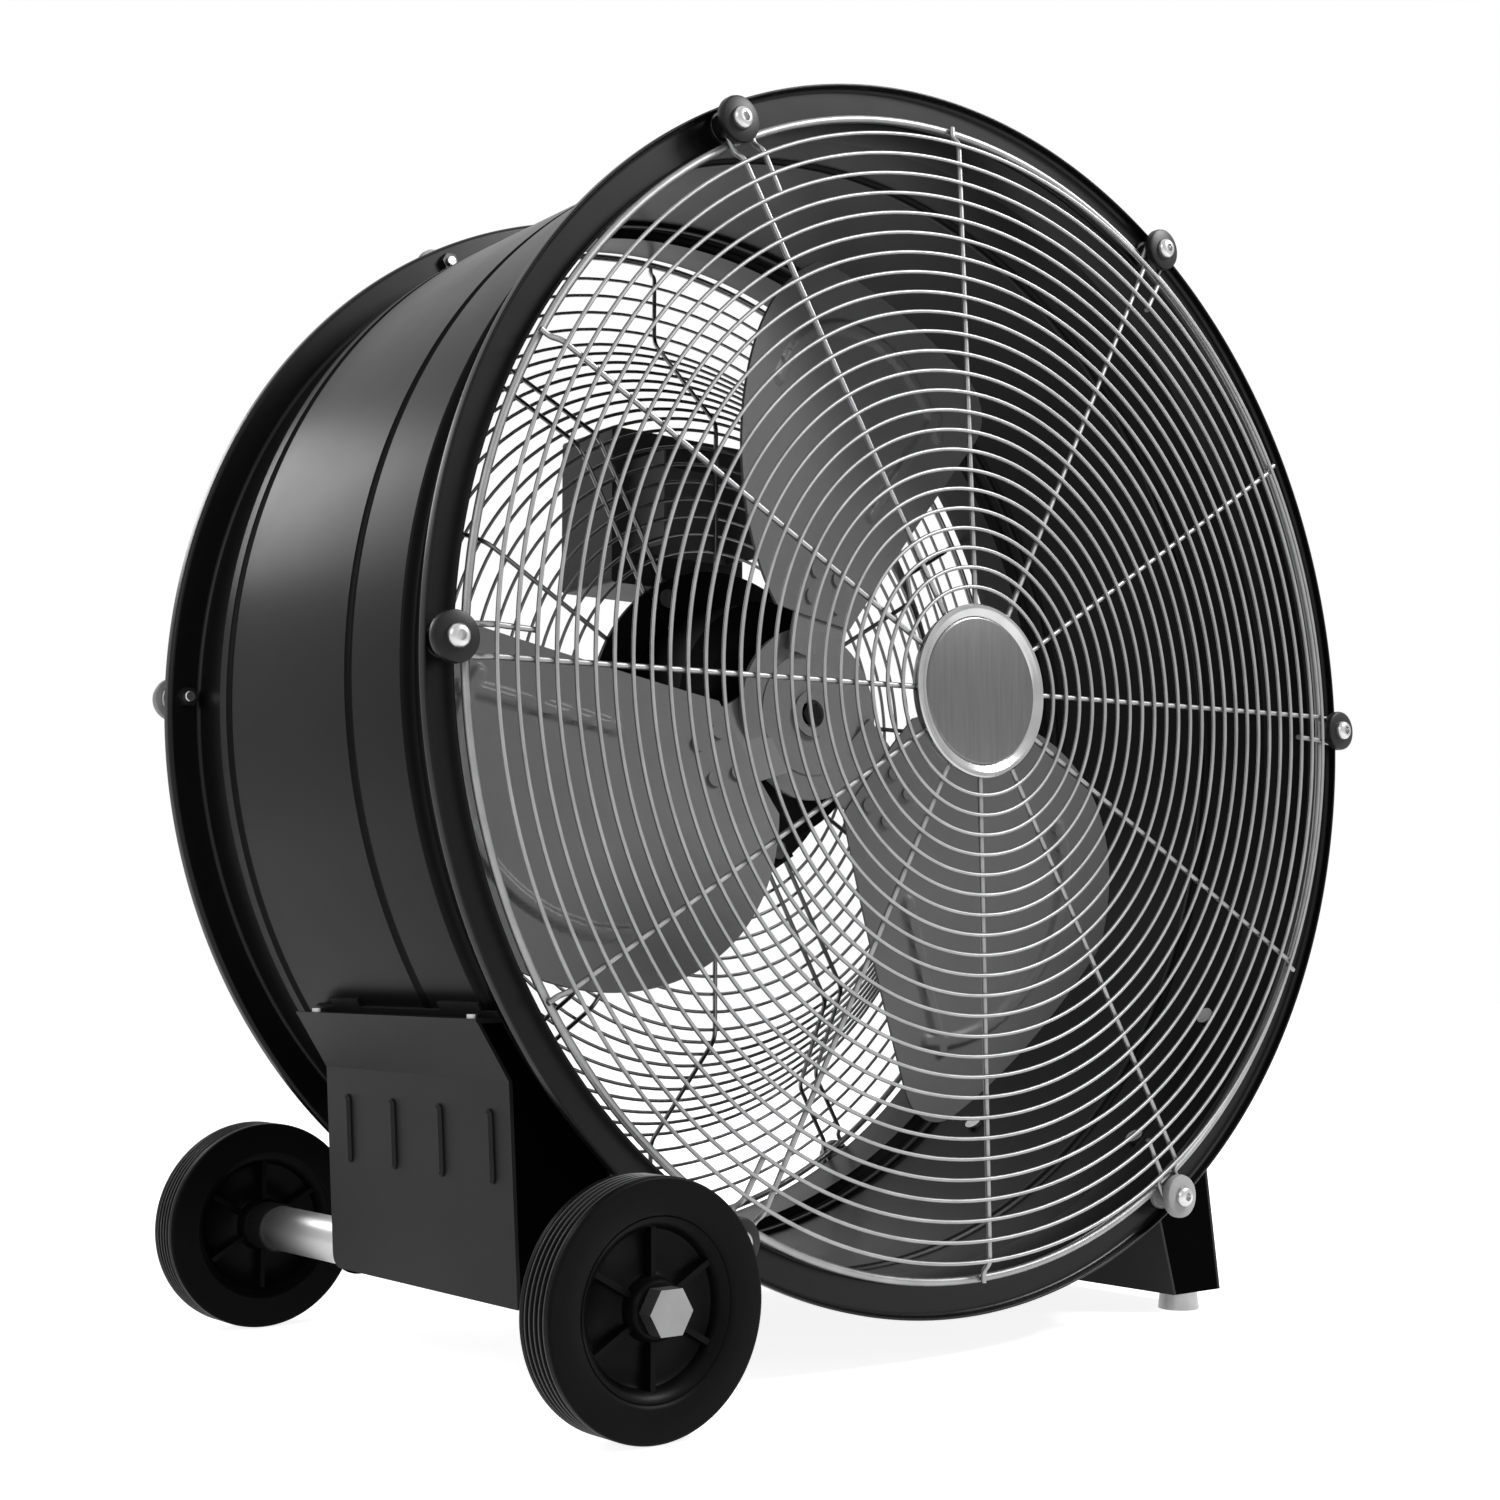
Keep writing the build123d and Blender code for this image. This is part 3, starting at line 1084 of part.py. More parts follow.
# ---- Write every piece ----
def write_drum_and_grilles():
    save("drum_housing", drum())
    save("front_flange", mirrored(flange()))
    save("rear_flange", flange())
    save("front_grille", *front_grille())
    save("front_edge_ring", mirrored(edge_ring()))
    save("rear_edge_ring", edge_ring())
    save("grille_badge", badge())
    save("rear_guard", *rear_guard())
    grey_bush = BOLT_ANGLES[-1]
    save("front_bushes", *around(bush(), BOLT_ANGLES[:-1]))
    save("front_bush_grey", turned(bush(), grey_bush))
    save("rear_bushes", *around(mirrored(bush()), BOLT_ANGLES))
    save("front_bolts", *around(grille_bolt(), BOLT_ANGLES))
    save("rear_bolts", *around(mirrored(grille_bolt()), BOLT_ANGLES))
    save("front_nuts", *around(grille_nut(), BOLT_ANGLES))
    save("rear_nuts", *around(mirrored(grille_nut()), BOLT_ANGLES))


def write_motor():
    save("motor_housing", motor_housing())
    save("motor_front_shield", end_shield(MOTOR_FRONT_Y, 1, FRONT_BEARING_Y, True))
    save("motor_rear_shield", end_shield(MOTOR_REAR_Y, -1, REAR_BEARING_Y, False))
    save("motor_bearings", bearing(FRONT_BEARING_Y), bearing(REAR_BEARING_Y))
    save("stator_core", stator())
    save("motor_mount", motor_mount())
    save("motor_mount_bolts", *around(mount_bolt(), BOLT_ANGLES))
    save("motor_shaft", motor_shaft())
    save("rotor_core", rotor_core())


def write_fan():
    save("blade_hub", hub())
    for number, angle in enumerate(BLADE_ANGLES, 1):
        save(f"blade_{number}", turned(blade(), angle))
    save("blade_rivets", *rivets())
    save("hub_bolt", hub_bolt())


def write_control_box():
    save("control_box", control_box())
    save("control_box_cover", box_cover())
    save("cover_screws", *cover_screws())
    save("box_bracket", box_bracket())
    save("speed_switch", speed_switch())
    save("run_capacitor", run_capacitor())
    save("cable_gland", cable_gland())
    save("speed_knob", speed_knob())


def write_stands():
    for side, face in (("left", left_plate_face()), ("right", right_plate_face())):
        front, rear = end_plates(face)
        save(f"{side}_front_plate", front)
        save(f"{side}_rear_plate", rear)
    save("left_saddle", saddle(-1))
    save("right_saddle", saddle(1))
    save("left_outer_panel", left_outer_panel())
    save("left_inner_panel", left_inner_panel())
    save("right_outer_panel", right_outer_panel())
    save("right_inner_panel", right_inner_panel())
    save("right_base", right_base())
    save("stand_screws", *[stand_screw(angle, y) for angle, y in stand_screw_places()])
    ends = (STAND_FRONT_Y + FLANGE_SCREW_END, STAND_REAR_Y - FLANGE_SCREW_END)
    save("flange_screws", *[flange_screw(y) for y in ends])
    save("feet", *[foot(y) for y in FOOT_YS])
    save("foot_screws", *[foot_screw(y) for y in FOOT_YS])


def write_wheels():
    save("axle_tube", axle_tube())
    save("axle_sleeves", axle_sleeve(), mirrored(axle_sleeve()))
    save("axle_bolts", axle_bolt(), mirrored(axle_bolt()))
    save("rear_tyre", tyre())
    save("rear_rim", wheel_rim())
    save("front_tyre", mirrored(tyre()))
    save("front_rim", mirrored(wheel_rim()))


os.makedirs("parts", exist_ok=True)
write_drum_and_grilles()
write_motor()
write_fan()
write_control_box()
write_stands()
write_wheels()
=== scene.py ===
import math
from collections import namedtuple

import bpy
import bmesh
import numpy as np
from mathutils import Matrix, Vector


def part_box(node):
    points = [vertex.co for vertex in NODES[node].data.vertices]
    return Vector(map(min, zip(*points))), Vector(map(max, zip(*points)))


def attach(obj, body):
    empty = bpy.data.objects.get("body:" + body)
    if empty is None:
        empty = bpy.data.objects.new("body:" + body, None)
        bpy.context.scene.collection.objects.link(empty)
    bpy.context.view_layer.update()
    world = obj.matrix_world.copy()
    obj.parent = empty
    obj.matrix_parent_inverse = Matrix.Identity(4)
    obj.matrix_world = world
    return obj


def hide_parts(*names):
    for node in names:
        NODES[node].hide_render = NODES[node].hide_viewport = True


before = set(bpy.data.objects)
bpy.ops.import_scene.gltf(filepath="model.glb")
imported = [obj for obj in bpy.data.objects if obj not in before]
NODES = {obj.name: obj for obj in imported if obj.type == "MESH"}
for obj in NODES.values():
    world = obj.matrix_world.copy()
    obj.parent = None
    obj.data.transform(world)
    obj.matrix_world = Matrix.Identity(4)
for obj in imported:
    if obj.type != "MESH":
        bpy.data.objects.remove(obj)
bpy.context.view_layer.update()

MM = 0.001

# ---- Taken from the frame, in metres; RIM_R and RIM_END in millimetres ----
RIM_LOW, RIM_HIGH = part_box("rear_flange")
AXIS_Z = (RIM_LOW[2] + RIM_HIGH[2]) / 2
RIM_R = (RIM_HIGH[0] - RIM_LOW[0]) / 2 / MM
RIM_END = RIM_HIGH[1] / MM

# ---- Sizes in millimetres about the drum axis; Y runs from the front to the back ----
# Drum: wall, collars at its ends, and the end rings with their webs
DRUM_R = 327.2
COLLAR_R = 321.5
SHEET = 1.5
WEB_Y = 140.0
SEAM_Y = 104.0
STEP_L = 4.0
BEND_R = 2.5
BEAD_YS = (-48.0, 88.0)
BEAD_HALF, BEAD_DEPTH = 4.0, 2.6
WALL_ROWS = 208                     # rows of the wall's outline on each side of its middle
DRUM_STEPS = 360

# Wires of both grilles
WIRE_R = 1.1
SPOKE_R = 1.5
EDGE_WIRE_R = 2.2
WELD_LIFT = 0.7 * WIRE_R            # height of a ring's middle over the surface of its spokes
BOLTS = 6
SPOKES = 12
BOLT_PITCH_R = 329.7
HAIRPIN_R = 8.0
HAIRPIN_Y = 151.0
HAIRPIN_POINTS = 17
EDGE_RING = (319.6, 147.3)          # radius, and Y at the back
SPOKE_END_R = EDGE_RING[0] + 2
SPOKE_BEND_R, SPOKE_FLAT_R, SHORT_LEG_R = 311.0, 315.2, 286.0

# Front grille and its centre plate
RING_R0, RING_PITCH, FRONT_RINGS = 57.6, 10.93, 24
FRONT_MID_Y, FRONT_OUT_Y = 159.0, 155.9
PLATE_R = 46.0
SPOKE_IN_R = 0.75 * PLATE_R
SPOKE_SHIFT = math.degrees(math.asin(HAIRPIN_R / BOLT_PITCH_R))
FRONT_CORNER = 4                    # reach of a spoke's bends

# Rear guard: (radius, Y) from its rim to its middle
DISH = ((311.0, 146.5), (266.0, 146.5), (197.0, 78.0), (108.0, 78.0))
REAR_PITCH = 10.7
REAR_RING_STEPS = 144
GUARD_IN_R = 80.0
REAR_CORNER = 6                     # reach of a spoke's bends


# ---- Materials ----
TONE_LOW, TONE_HIGH = 0.3, 0.7      # noise values at which the two tones of a colour are pure

# How a surface varies. Tone: cells per metre, detail, darkest and lightest share of the colour.
# Sheen: cells per metre, how far the roughness falls and rises. Grain: cells per metre, detail
# and height in metres.
Skin = namedtuple("Skin", "tone sheen grain")
PAINT = Skin((9.0, 3.0, 0.9, 1.1), (35.0, 0.03, 0.04), (900.0, 2.0, 0.0004))
PLASTIC = Skin((25.0, 3.0, 0.85, 1.15), (70.0, 0.05, 0.06), (1400.0, 2.0, 0.0003))
ROLLED = Skin((14.0, 6.0, 0.93, 1.06), (50.0, 0.04, 0.06), (500.0, 2.0, 0.0003))


def metal_skin(scale):
    return Skin((scale, 3.0, 0.88, 1.08), (scale * 3, 0.05, 0.07), (scale * 12, 3.0, 0.0003))


def add(material, kind, **inputs):
    """New shader node with some of its inputs set."""
    node = material.node_tree.nodes.new(kind)
    for name, value in inputs.items():
        node.inputs[name.replace("_", " ")].default_value = value
    return node


def link(material, source, target):
    material.node_tree.links.new(source, target)


def feed(material, source, socket):
    """Link an output to an input of the material's shader."""
    link(material, source, material.node_tree.nodes["Principled BSDF"].inputs[socket])


def new_material(name, colour, **sockets):
    material = bpy.data.materials.new(name)
    material.use_nodes = True
    shader = material.node_tree.nodes["Principled BSDF"]
    shader.inputs["Base Color"].default_value = (*colour, 1.0)
    for socket, value in sockets.items():
        shader.inputs[socket.replace("_", " ")].default_value = value
    return material


def noise(material, scale, detail=3.0, stretch=(1.0, 1.0, 1.0)):
    """Noise over the object's own coordinates, in cells per metre."""
    coord = add(material, "ShaderNodeTexCoord")
    mapping = add(material, "ShaderNodeMapping", Scale=stretch)
    texture = add(material, "ShaderNodeTexNoise", Scale=scale, Detail=detail)
    link(material, coord.outputs["Object"], mapping.inputs["Vector"])
    link(material, mapping.outputs["Vector"], texture.inputs["Vector"])
    return texture.outputs["Fac"]


def vary(material, source, low, high, socket):
    """Drive a shader input by a noise between two values."""
    ramp = add(material, "ShaderNodeMapRange", To_Min=low, To_Max=high)
    link(material, source, ramp.inputs["Value"])
    feed(material, ramp.outputs["Result"], socket)


def tint(material, source, dark, light):
    """Colour that varies between two tones with a noise."""
    ramp = add(material, "ShaderNodeValToRGB")
    stops = ramp.color_ramp.elements
    for stop, position, tone in ((stops[0], TONE_LOW, dark), (stops[1], TONE_HIGH, light)):
        stop.position = position
        stop.color = (*tone, 1.0)
    link(material, source, ramp.inputs["Fac"])
    feed(material, ramp.outputs["Color"], "Base Color")


def bump(material, source, strength, distance):
    node = add(material, "ShaderNodeBump", Strength=strength, Distance=distance)
    link(material, source, node.inputs["Height"])
    feed(material, node.outputs["Normal"], "Normal")


def grey(value):
    return (value, value, value * 1.01)


def surface(name, value, roughness, skin, bump_strength, stretch=(1.0, 1.0, 1.0), **sockets):
    """Grey material whose tone, sheen and grain vary over the object."""
    material = new_material(name, grey(value), Roughness=roughness, **sockets)
    scale, detail, dark, light = skin.tone
    tone = noise(material, scale, detail, stretch)
    tint(material, tone, grey(value * dark), grey(value * light))
    scale, fall, rise = skin.sheen
    sheen = noise(material, scale, stretch=stretch)
    vary(material, sheen, roughness - fall, roughness + rise, "Roughness")
    scale, detail, height = skin.grain
    bump(material, noise(material, scale, detail, stretch), bump_strength, height)
    return material


def painted(name, value, roughness, gloss, grain=0.06):
    """Powder coat: a fine orange peel and a slightly uneven sheen."""
    return surface(name, value, roughness, PAINT, grain, Specular_IOR_Level=gloss)


def metal(name, value, roughness, scale=60.0, stretch=(1.0, 1.0, 1.0), grain=0.05):
    return surface(name, value, roughness, metal_skin(scale), grain, stretch, Metallic=1.0)


def plastic(name, value, roughness, grain=0.12, gloss=0.3):
    return surface(name, value, roughness, PLASTIC, grain, Specular_IOR_Level=gloss)


def sheet_metal(name, value, roughness):
    """Rolled sheet, dulled by its skin: nearly all matte, with a trace of metal."""
    return surface(name, value, roughness, ROLLED, bump_strength=0.03,
                   Metallic=0.02, Specular_IOR_Level=0.13)


# Each with its name, brightness and roughness
MATERIALS = {
    "drum": painted("drum_gloss_black", 0.005, 0.3, gloss=0.07, grain=0.012),
    "flange": painted("flange_gloss_black", 0.004, 0.3, gloss=0.17, grain=0.012),
    "stand": painted("stand_satin_black", 0.014, 0.5, gloss=0.15),
    "plate": painted("end_plate_black", 0.0015, 0.6, gloss=0.004),
    "wire": metal("wire_bright", 0.28, 0.46, grain=0.02),
    "rear_wire": metal("wire_rear", 0.22, 0.32, grain=0.02),
    "badge": metal("badge_brushed", 0.135, 0.34, scale=45.0, stretch=(14.0, 14.0, 0.5)),
    "badge_edge": metal("badge_edge", 0.4, 0.2),
    "zinc": metal("zinc_bright", 0.5, 0.3),
    "hex": metal("axle_nut_satin", 0.24, 0.42),
    "dark_zinc": metal("nut_dark", 0.05, 0.4),
    "tube": metal("tube_steel", 0.7, 0.3, scale=25.0, stretch=(1.0, 0.1, 1.0), grain=0.02),
    "blade": sheet_metal("blade_aluminium", 0.175, 0.36),
    "hub": sheet_metal("hub_steel", 0.2, 0.38),
    "motor": painted("motor_black", 0.007, 0.5, gloss=0.08),
    "core": metal("core_steel", 0.25, 0.4),
    "box": painted("box_dark_grey", 0.078, 0.45, gloss=0.06),
    # painted light: the bracket on the box's front is paler than the box, so that face reads as
    # lit
    "bracket": painted("bracket_painted_light", 0.17, 0.5, gloss=0.06),
    "black": plastic("plastic_black", 0.007, 0.42, gloss=0.22),
    "grey": plastic("plastic_grey", 0.36, 0.4),
    "rubber": plastic("tyre_rubber", 0.004, 0.42, grain=0.2, gloss=0.05),
    # painted highlight: the tread ribs are a lighter, glossier rubber than the tyre, so they read
    # as bright lines
    "tread": plastic("tread_rubber_painted_highlight", 0.03, 0.3, grain=0.05, gloss=0.5),
    "rim": plastic("rim_black", 0.003, 0.35, gloss=0.05),
    "foot": metal("foot_turned", 0.36, 0.32),
}


# ---- Mesh building ----
SAME_POINT = 1e-6                   # metres within which points are joined
BEND_SHARE = 0.45                   # most of a stretch that a rounded corner at its end may take

# Degrees past which an edge stays sharp
SOLID_SHARP, SHEET_SHARP, WIRE_SHARP = 38, 50, 60


def to_mesh(name, verts, faces):
    """Mesh from points in millimetres about the drum axis."""
    mesh = bpy.data.meshes.new(name)
    points = [(x * MM, y * MM, z * MM + AXIS_Z) for x, y, z in verts]
    mesh.from_pydata(points, [], faces)
    work = bmesh.new()
    work.from_mesh(mesh)
    bmesh.ops.remove_doubles(work, verts=work.verts, dist=SAME_POINT)
    bmesh.ops.recalc_face_normals(work, faces=work.faces)
    work.to_mesh(mesh)
    work.free()
    return mesh


def piece(name, part, body, material, replaces=(), angle=SOLID_SHARP):
    """Smooth piece on a body, from (verts, faces); edges past the angle stay sharp."""
    mesh = to_mesh(name, *part)
    mesh.polygons.foreach_set("use_smooth", [True] * len(mesh.polygons))
    mesh.set_sharp_from_angle(angle=math.radians(angle))
    obj = bpy.data.objects.new(name, mesh)
    bpy.context.scene.collection.objects.link(obj)
    mesh.materials.append(MATERIALS[material])
    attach(obj, body)
    if replaces:
        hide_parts(*replaces)


def merge(parts):
    """Join (verts, faces) pairs."""
    verts, faces = [], []
    for part_verts, part_faces in parts:
        start = len(verts)
        verts.extend(part_verts)
        faces.extend([tuple(i + start for i in face) for face in part_faces])
    return verts, faces


def lathe(profile, steps=128, x=0.0, z=0.0, closed=True):
    """Revolve (radius, y) points about the Y axis through x and z."""
    verts = []
    for step in range(steps):
        angle = 2 * math.pi * step / steps
        for r, y in profile:
            verts.append((x + r * math.cos(angle), y, z + r * math.sin(angle)))
    count = len(profile)
    faces = []
    spans = count if closed else count - 1
    for step in range(steps):
        a, b = step * count, (step + 1) % steps * count
        for i in range(spans):
            j = (i + 1) % count
            faces.append((a + i, a + j, b + j, b + i))
    return verts, faces


def tube(path, radius, sides=10, closed=False):
    """Round wire along a list of points that doesn't start along Y."""
    points = np.array(path, float)
    count = len(points)
    if closed:
        tangents = np.roll(points, -1, 0) - np.roll(points, 1, 0)
    else:
        tangents = np.gradient(points, axis=0)
    tangents /= np.linalg.norm(tangents, axis=1)[:, None]
    side = np.cross(tangents[0], (0.0, 1.0, 0.0))
    verts = []
    for point, tangent in zip(points, tangents):
        side = side - tangent * np.dot(side, tangent)
        side = side / np.linalg.norm(side)
        other = np.cross(tangent, side)
        for k in range(sides):
            a = 2 * math.pi * k / sides
            verts.append(tuple(point + radius * (math.cos(a) * side + math.sin(a) * other)))
    faces = []
    rings = count if closed else count - 1
    for i in range(rings):
        a, b = i * sides, (i + 1) % count * sides
        for k in range(sides):
            n = (k + 1) % sides
            faces.append((a + k, a + n, b + n, b + k))
    if not closed:
        faces.append(tuple(range(sides)))
        faces.append(tuple(range((count - 1) * sides, count * sides)))
    return verts, faces


def turned(part, angle):
    """Turn points about the drum axis, from +X towards +Z."""
    c, s = math.cos(math.radians(angle)), math.sin(math.radians(angle))
    verts, faces = part
    return [(x * c - z * s, y, x * s + z * c) for x, y, z in verts], faces


def mirrored(part):
    """Swap front and back."""
    verts, faces = part
    return [(x, -y, z) for x, y, z in verts], faces


def moved(part, dx=0.0, dz=0.0):
    verts, faces = part
    return [(x + dx, y, z + dz) for x, y, z in verts], faces


def arc(centre, radius, start, end, steps):
    """Points of an arc in a plane, angles in degrees."""
    turn = (end - start) / steps
    return [(centre[0] + radius * math.cos(math.radians(start + turn * i)),
             centre[1] + radius * math.sin(math.radians(start + turn * i)))
            for i in range(steps + 1)]


def rounded(points, radius, steps=5):
    """Polyline with its corners rounded, as far as the stretches beside them leave room."""
    points = [np.array(p, float) for p in points]
    out = [points[0]]
    for before, here, after in zip(points, points[1:], points[2:]):
        a, b = before - here, after - here
        reach = min(radius, BEND_SHARE * np.linalg.norm(a), BEND_SHARE * np.linalg.norm(b))
        p = here + a / np.linalg.norm(a) * reach
        q = here + b / np.linalg.norm(b) * reach
        for i in range(steps + 1):
            t = i / steps
            out.append((1 - t) ** 2 * p + 2 * t * (1 - t) * here + t * t * q)
    out.append(points[-1])
    return [tuple(float(v) for v in p) for p in out]


# ---- Drum ----
BEND_STEPS, INNER_BEND_STEPS, RIM_EDGE_STEPS = 8, 6, 10


def wall_line(drop):
    """The drum's wall with its beads and the steps at its ends, a depth below the paint."""
    points = []
    for row in range(2 * WALL_ROWS + 1):
        y = SEAM_Y * (row / WALL_ROWS - 1)
        dip = 0.0
        for bead_y in BEAD_YS:
            if abs(y - bead_y) < BEAD_HALF:
                dip = BEAD_DEPTH * (1 - abs((y - bead_y) / BEAD_HALF) ** 3)
        share = min(1.0, max(0.0, (abs(y) - SEAM_Y + STEP_L) / STEP_L))
        fall = (DRUM_R - COLLAR_R) * share * share * (3 - 2 * share)
        points.append((DRUM_R - drop - fall - dip, y))
    return points


def flange_section():
    """Closed section of the ring at the back: collar, web and rim with its rounded edge."""
    web_out, face, inner = WEB_Y - SHEET, RIM_R - SHEET, COLLAR_R - SHEET
    edge = SHEET / 2
    points = [(inner, SEAM_Y), (COLLAR_R, SEAM_Y)]
    points += arc((COLLAR_R + BEND_R, web_out - BEND_R), BEND_R, 180, 90, BEND_STEPS)
    points += arc((RIM_R - BEND_R, web_out + BEND_R), BEND_R, -90, 0, BEND_STEPS)
    points += arc((RIM_R - edge, RIM_END - edge), edge, 0, 180, RIM_EDGE_STEPS)
    points += arc((face - BEND_R, WEB_Y + BEND_R), BEND_R, 0, -90, INNER_BEND_STEPS)
    points += arc((inner + BEND_R, WEB_Y - BEND_R), BEND_R, 90, 180, INNER_BEND_STEPS)
    return points


def make_drum():
    wall = lathe(wall_line(0.0) + wall_line(SHEET)[::-1], steps=DRUM_STEPS)
    piece("drum_wall", wall, "frame", "drum", ["drum_housing"], angle=SHEET_SHARP)
    ring = lathe(flange_section(), steps=DRUM_STEPS)
    for name, part in (("rear_flange", ring), ("front_flange", mirrored(ring))):
        piece(f"{name}_ring", part, "frame", "flange", [name], angle=SHEET_SHARP)


# ---- Wires ----
# (radius, distance behind the spokes) of the plate that closes the middle of the front grille
PLATE_PROFILE = ((0.0, 0.0), (PLATE_R - 1, 0.0), (PLATE_R, 0.4), (PLATE_R, 1.2),
                 (PLATE_R - 1, 1.6), (0.0, 1.6))


def circle(radius, y, steps=192):
    return [(radius * math.cos(2 * math.pi * i / steps), y,
             radius * math.sin(2 * math.pi * i / steps)) for i in range(steps)]


def hairpin(first, second, end_y):
    """Path out on the first leg, round the bush and back on the second; legs run along +X."""
    turn = [(BOLT_PITCH_R + HAIRPIN_R * math.cos(a), end_y, HAIRPIN_R * math.sin(a))
            for a in np.linspace(math.pi / 2, -math.pi / 2, HAIRPIN_POINTS)]
    return first + turn[1:-1] + second[::-1]


def tilt(path, shift):
    """Lay a (radius, y) path on the radius that is turned by an angle."""
    c, s = math.cos(math.radians(shift)), math.sin(math.radians(shift))
    return [(r * c, y, r * s) for r, y in path]


def spoke_set(pair, plain):
    """All spokes of a grille: in turn a hairpin round a bush and a plain one."""
    wires = []
    for k in range(SPOKES):
        path = plain if k % (SPOKES // BOLTS) else pair
        wires.append(turned(tube(path, SPOKE_R), 360.0 / SPOKES * k))
    return merge(wires)


def front_y(radius):
    """Y of the front spokes' middle line at a radius."""
    share = (radius - PLATE_R) / (SPOKE_BEND_R - PLATE_R)
    return -FRONT_MID_Y + (FRONT_MID_Y - FRONT_OUT_Y) * share


def front_spokes():
    inner = [(SPOKE_IN_R, -FRONT_MID_Y), (PLATE_R, -FRONT_MID_Y)]
    outer = [(SPOKE_BEND_R, -FRONT_OUT_Y), (SPOKE_FLAT_R, -HAIRPIN_Y)]
    bush = [(BOLT_PITCH_R, -HAIRPIN_Y)]
    long_leg = rounded(inner + outer + bush, FRONT_CORNER)
    short_leg = rounded([(SHORT_LEG_R, front_y(SHORT_LEG_R))] + outer + bush, FRONT_CORNER)
    plain = rounded(inner + outer + [(SPOKE_END_R, -HAIRPIN_Y)], FRONT_CORNER)
    pair = hairpin(tilt(long_leg, SPOKE_SHIFT), tilt(short_leg, -SPOKE_SHIFT), -HAIRPIN_Y)
    return spoke_set(pair, tilt(plain, SPOKE_SHIFT))


def front_rings():
    rings = []
    for ring in range(FRONT_RINGS):
        radius = RING_R0 + RING_PITCH * ring
        y = front_y(radius) - SPOKE_R - WELD_LIFT
        rings.append(tube(circle(radius, y), WIRE_R, closed=True))
    return merge(rings)


def make_front_grille():
    piece("front_spokes", front_spokes(), "frame", "wire", ["front_grille"],
          angle=WIRE_SHARP)
    piece("front_rings", front_rings(), "frame", "wire", angle=WIRE_SHARP)
    edge = tube(circle(EDGE_RING[0], -EDGE_RING[1]), EDGE_WIRE_R, sides=14, closed=True)
    piece("front_edge_wire", edge, "frame", "wire", ["front_edge_ring"],
          angle=WIRE_SHARP)
    back = -FRONT_MID_Y + SPOKE_R
    plate = lathe([(r, back + y) for r, y in PLATE_PROFILE], closed=False)
    piece("grille_back_plate", plate, "frame", "zinc")


def rear_ring_places():
    """(radius, y) of the rear rings, spread over each stretch of the dish."""
    places = []
    for start, end in zip(DISH, DISH[1:]):
        dr, dy = end[0] - start[0], end[1] - start[1]
        length = math.hypot(dr, dy)
        up = (dy / length, -dr / length)
        count = round(length / REAR_PITCH)
        lift = SPOKE_R + WELD_LIFT
        for step in range(count):
            share = (step + 0.5) / count
            places.append((start[0] + dr * share + up[0] * lift,
                           start[1] + dy * share + up[1] * lift))
    return places


def rear_spokes():
    profile = [(GUARD_IN_R, DISH[2][1]), DISH[2], DISH[1], DISH[0], (SPOKE_FLAT_R, HAIRPIN_Y)]
    plain = rounded(profile + [(SPOKE_END_R, HAIRPIN_Y)], REAR_CORNER)
    leg = rounded(profile + [(BOLT_PITCH_R, HAIRPIN_Y)], REAR_CORNER)
    first = [(r, y, HAIRPIN_R) for r, y in leg]
    second = [(r, y, -HAIRPIN_R) for r, y in leg]
    return spoke_set(hairpin(first, second, HAIRPIN_Y), tilt(plain, 0.0))


def make_rear_guard():
    piece("rear_spokes", rear_spokes(), "frame", "rear_wire", ["rear_guard"],
          angle=WIRE_SHARP)
    rings = merge([tube(circle(r, y, REAR_RING_STEPS), WIRE_R, sides=8, closed=True)
                   for r, y in rear_ring_places()])
    piece("rear_rings", rings, "frame", "rear_wire", angle=WIRE_SHARP)
    edge = tube(circle(*EDGE_RING), EDGE_WIRE_R, sides=12, closed=True)
    piece("rear_edge_wire", edge, "frame", "rear_wire", ["rear_edge_ring"],
          angle=WIRE_SHARP)


# ---- Bushes and bolts: (radius, Y) of those at the front ----
BUSH_PROFILE = ((3.2, -158.0), (11.0, -158.0), (12.1, -157.4), (12.5, -156.2), (12.5, -153.6),
                (12.0, -152.7), (11.0, -152.5), (6.3, -152.5), (6.3, -149.5), (6.9, -149.5),
                (6.9, -142.8), (8.1, -142.8), (8.5, -142.4), (8.5, -140.0), (3.2, -140.0))
BOLT_PROFILE = ((0.0, -160.2), (2.2, -160.2), (2.4, -162.0), (3.6, -161.9), (4.9, -161.2),
                (5.7, -160.1), (6.0, -158.9), (6.0, -158.0), (3.0, -158.0), (3.0, -133.0),
                (2.6, -132.5), (0.0, -132.5))
BUSH_STEPS, BOLT_STEPS = 40, 32


def at_bolts(part, angles):
    return merge([turned(moved(part, dx=BOLT_PITCH_R), angle) for angle in angles])


def make_bushes_and_bolts():
    angles = [360.0 / BOLTS * k for k in range(BOLTS)]
    bush = lathe(BUSH_PROFILE, steps=BUSH_STEPS)
    bolt = lathe(BOLT_PROFILE, steps=BOLT_STEPS, closed=False)
    rows = (("front_bush_set", bush, angles[:-1], "black_plastic", "black", "front_bushes"),
            # painted highlight: one front bush is grey plastic where the others are black
            ("front_bush_painted_highlight", bush, angles[-1:], "grey_plastic", "grey", "front_bush_grey"),
            ("rear_bush_set", mirrored(bush), angles, "grey_plastic", "grey", "rear_bushes"),
            ("front_bolt_set", bolt, angles, "zinc_steel", "zinc", "front_bolts"),
            ("rear_bolt_set", mirrored(bolt), angles, "zinc_steel", "zinc", "rear_bolts"))
    for name, part, places, slot, material, node in rows:
        piece(name, at_bolts(part, places), "frame", material, [node])


# ---- Badge: (radius, distance in front of its back) ----
BADGE_RIM = ((0.0, 0.0), (46.8, 0.0), (48.0, 0.8), (48.0, 2.2), (47.2, 3.0), (45.8, 3.1),
             (44.6, 2.7), (43.9, 2.1), (42.0, 2.0), (41.4, 1.5), (40.9, 1.0))
BADGE_FACE = ((40.9, 1.0), (40.4, 1.5), (39.6, 1.7), (0.0, 1.7))
BADGE_STEPS = 160


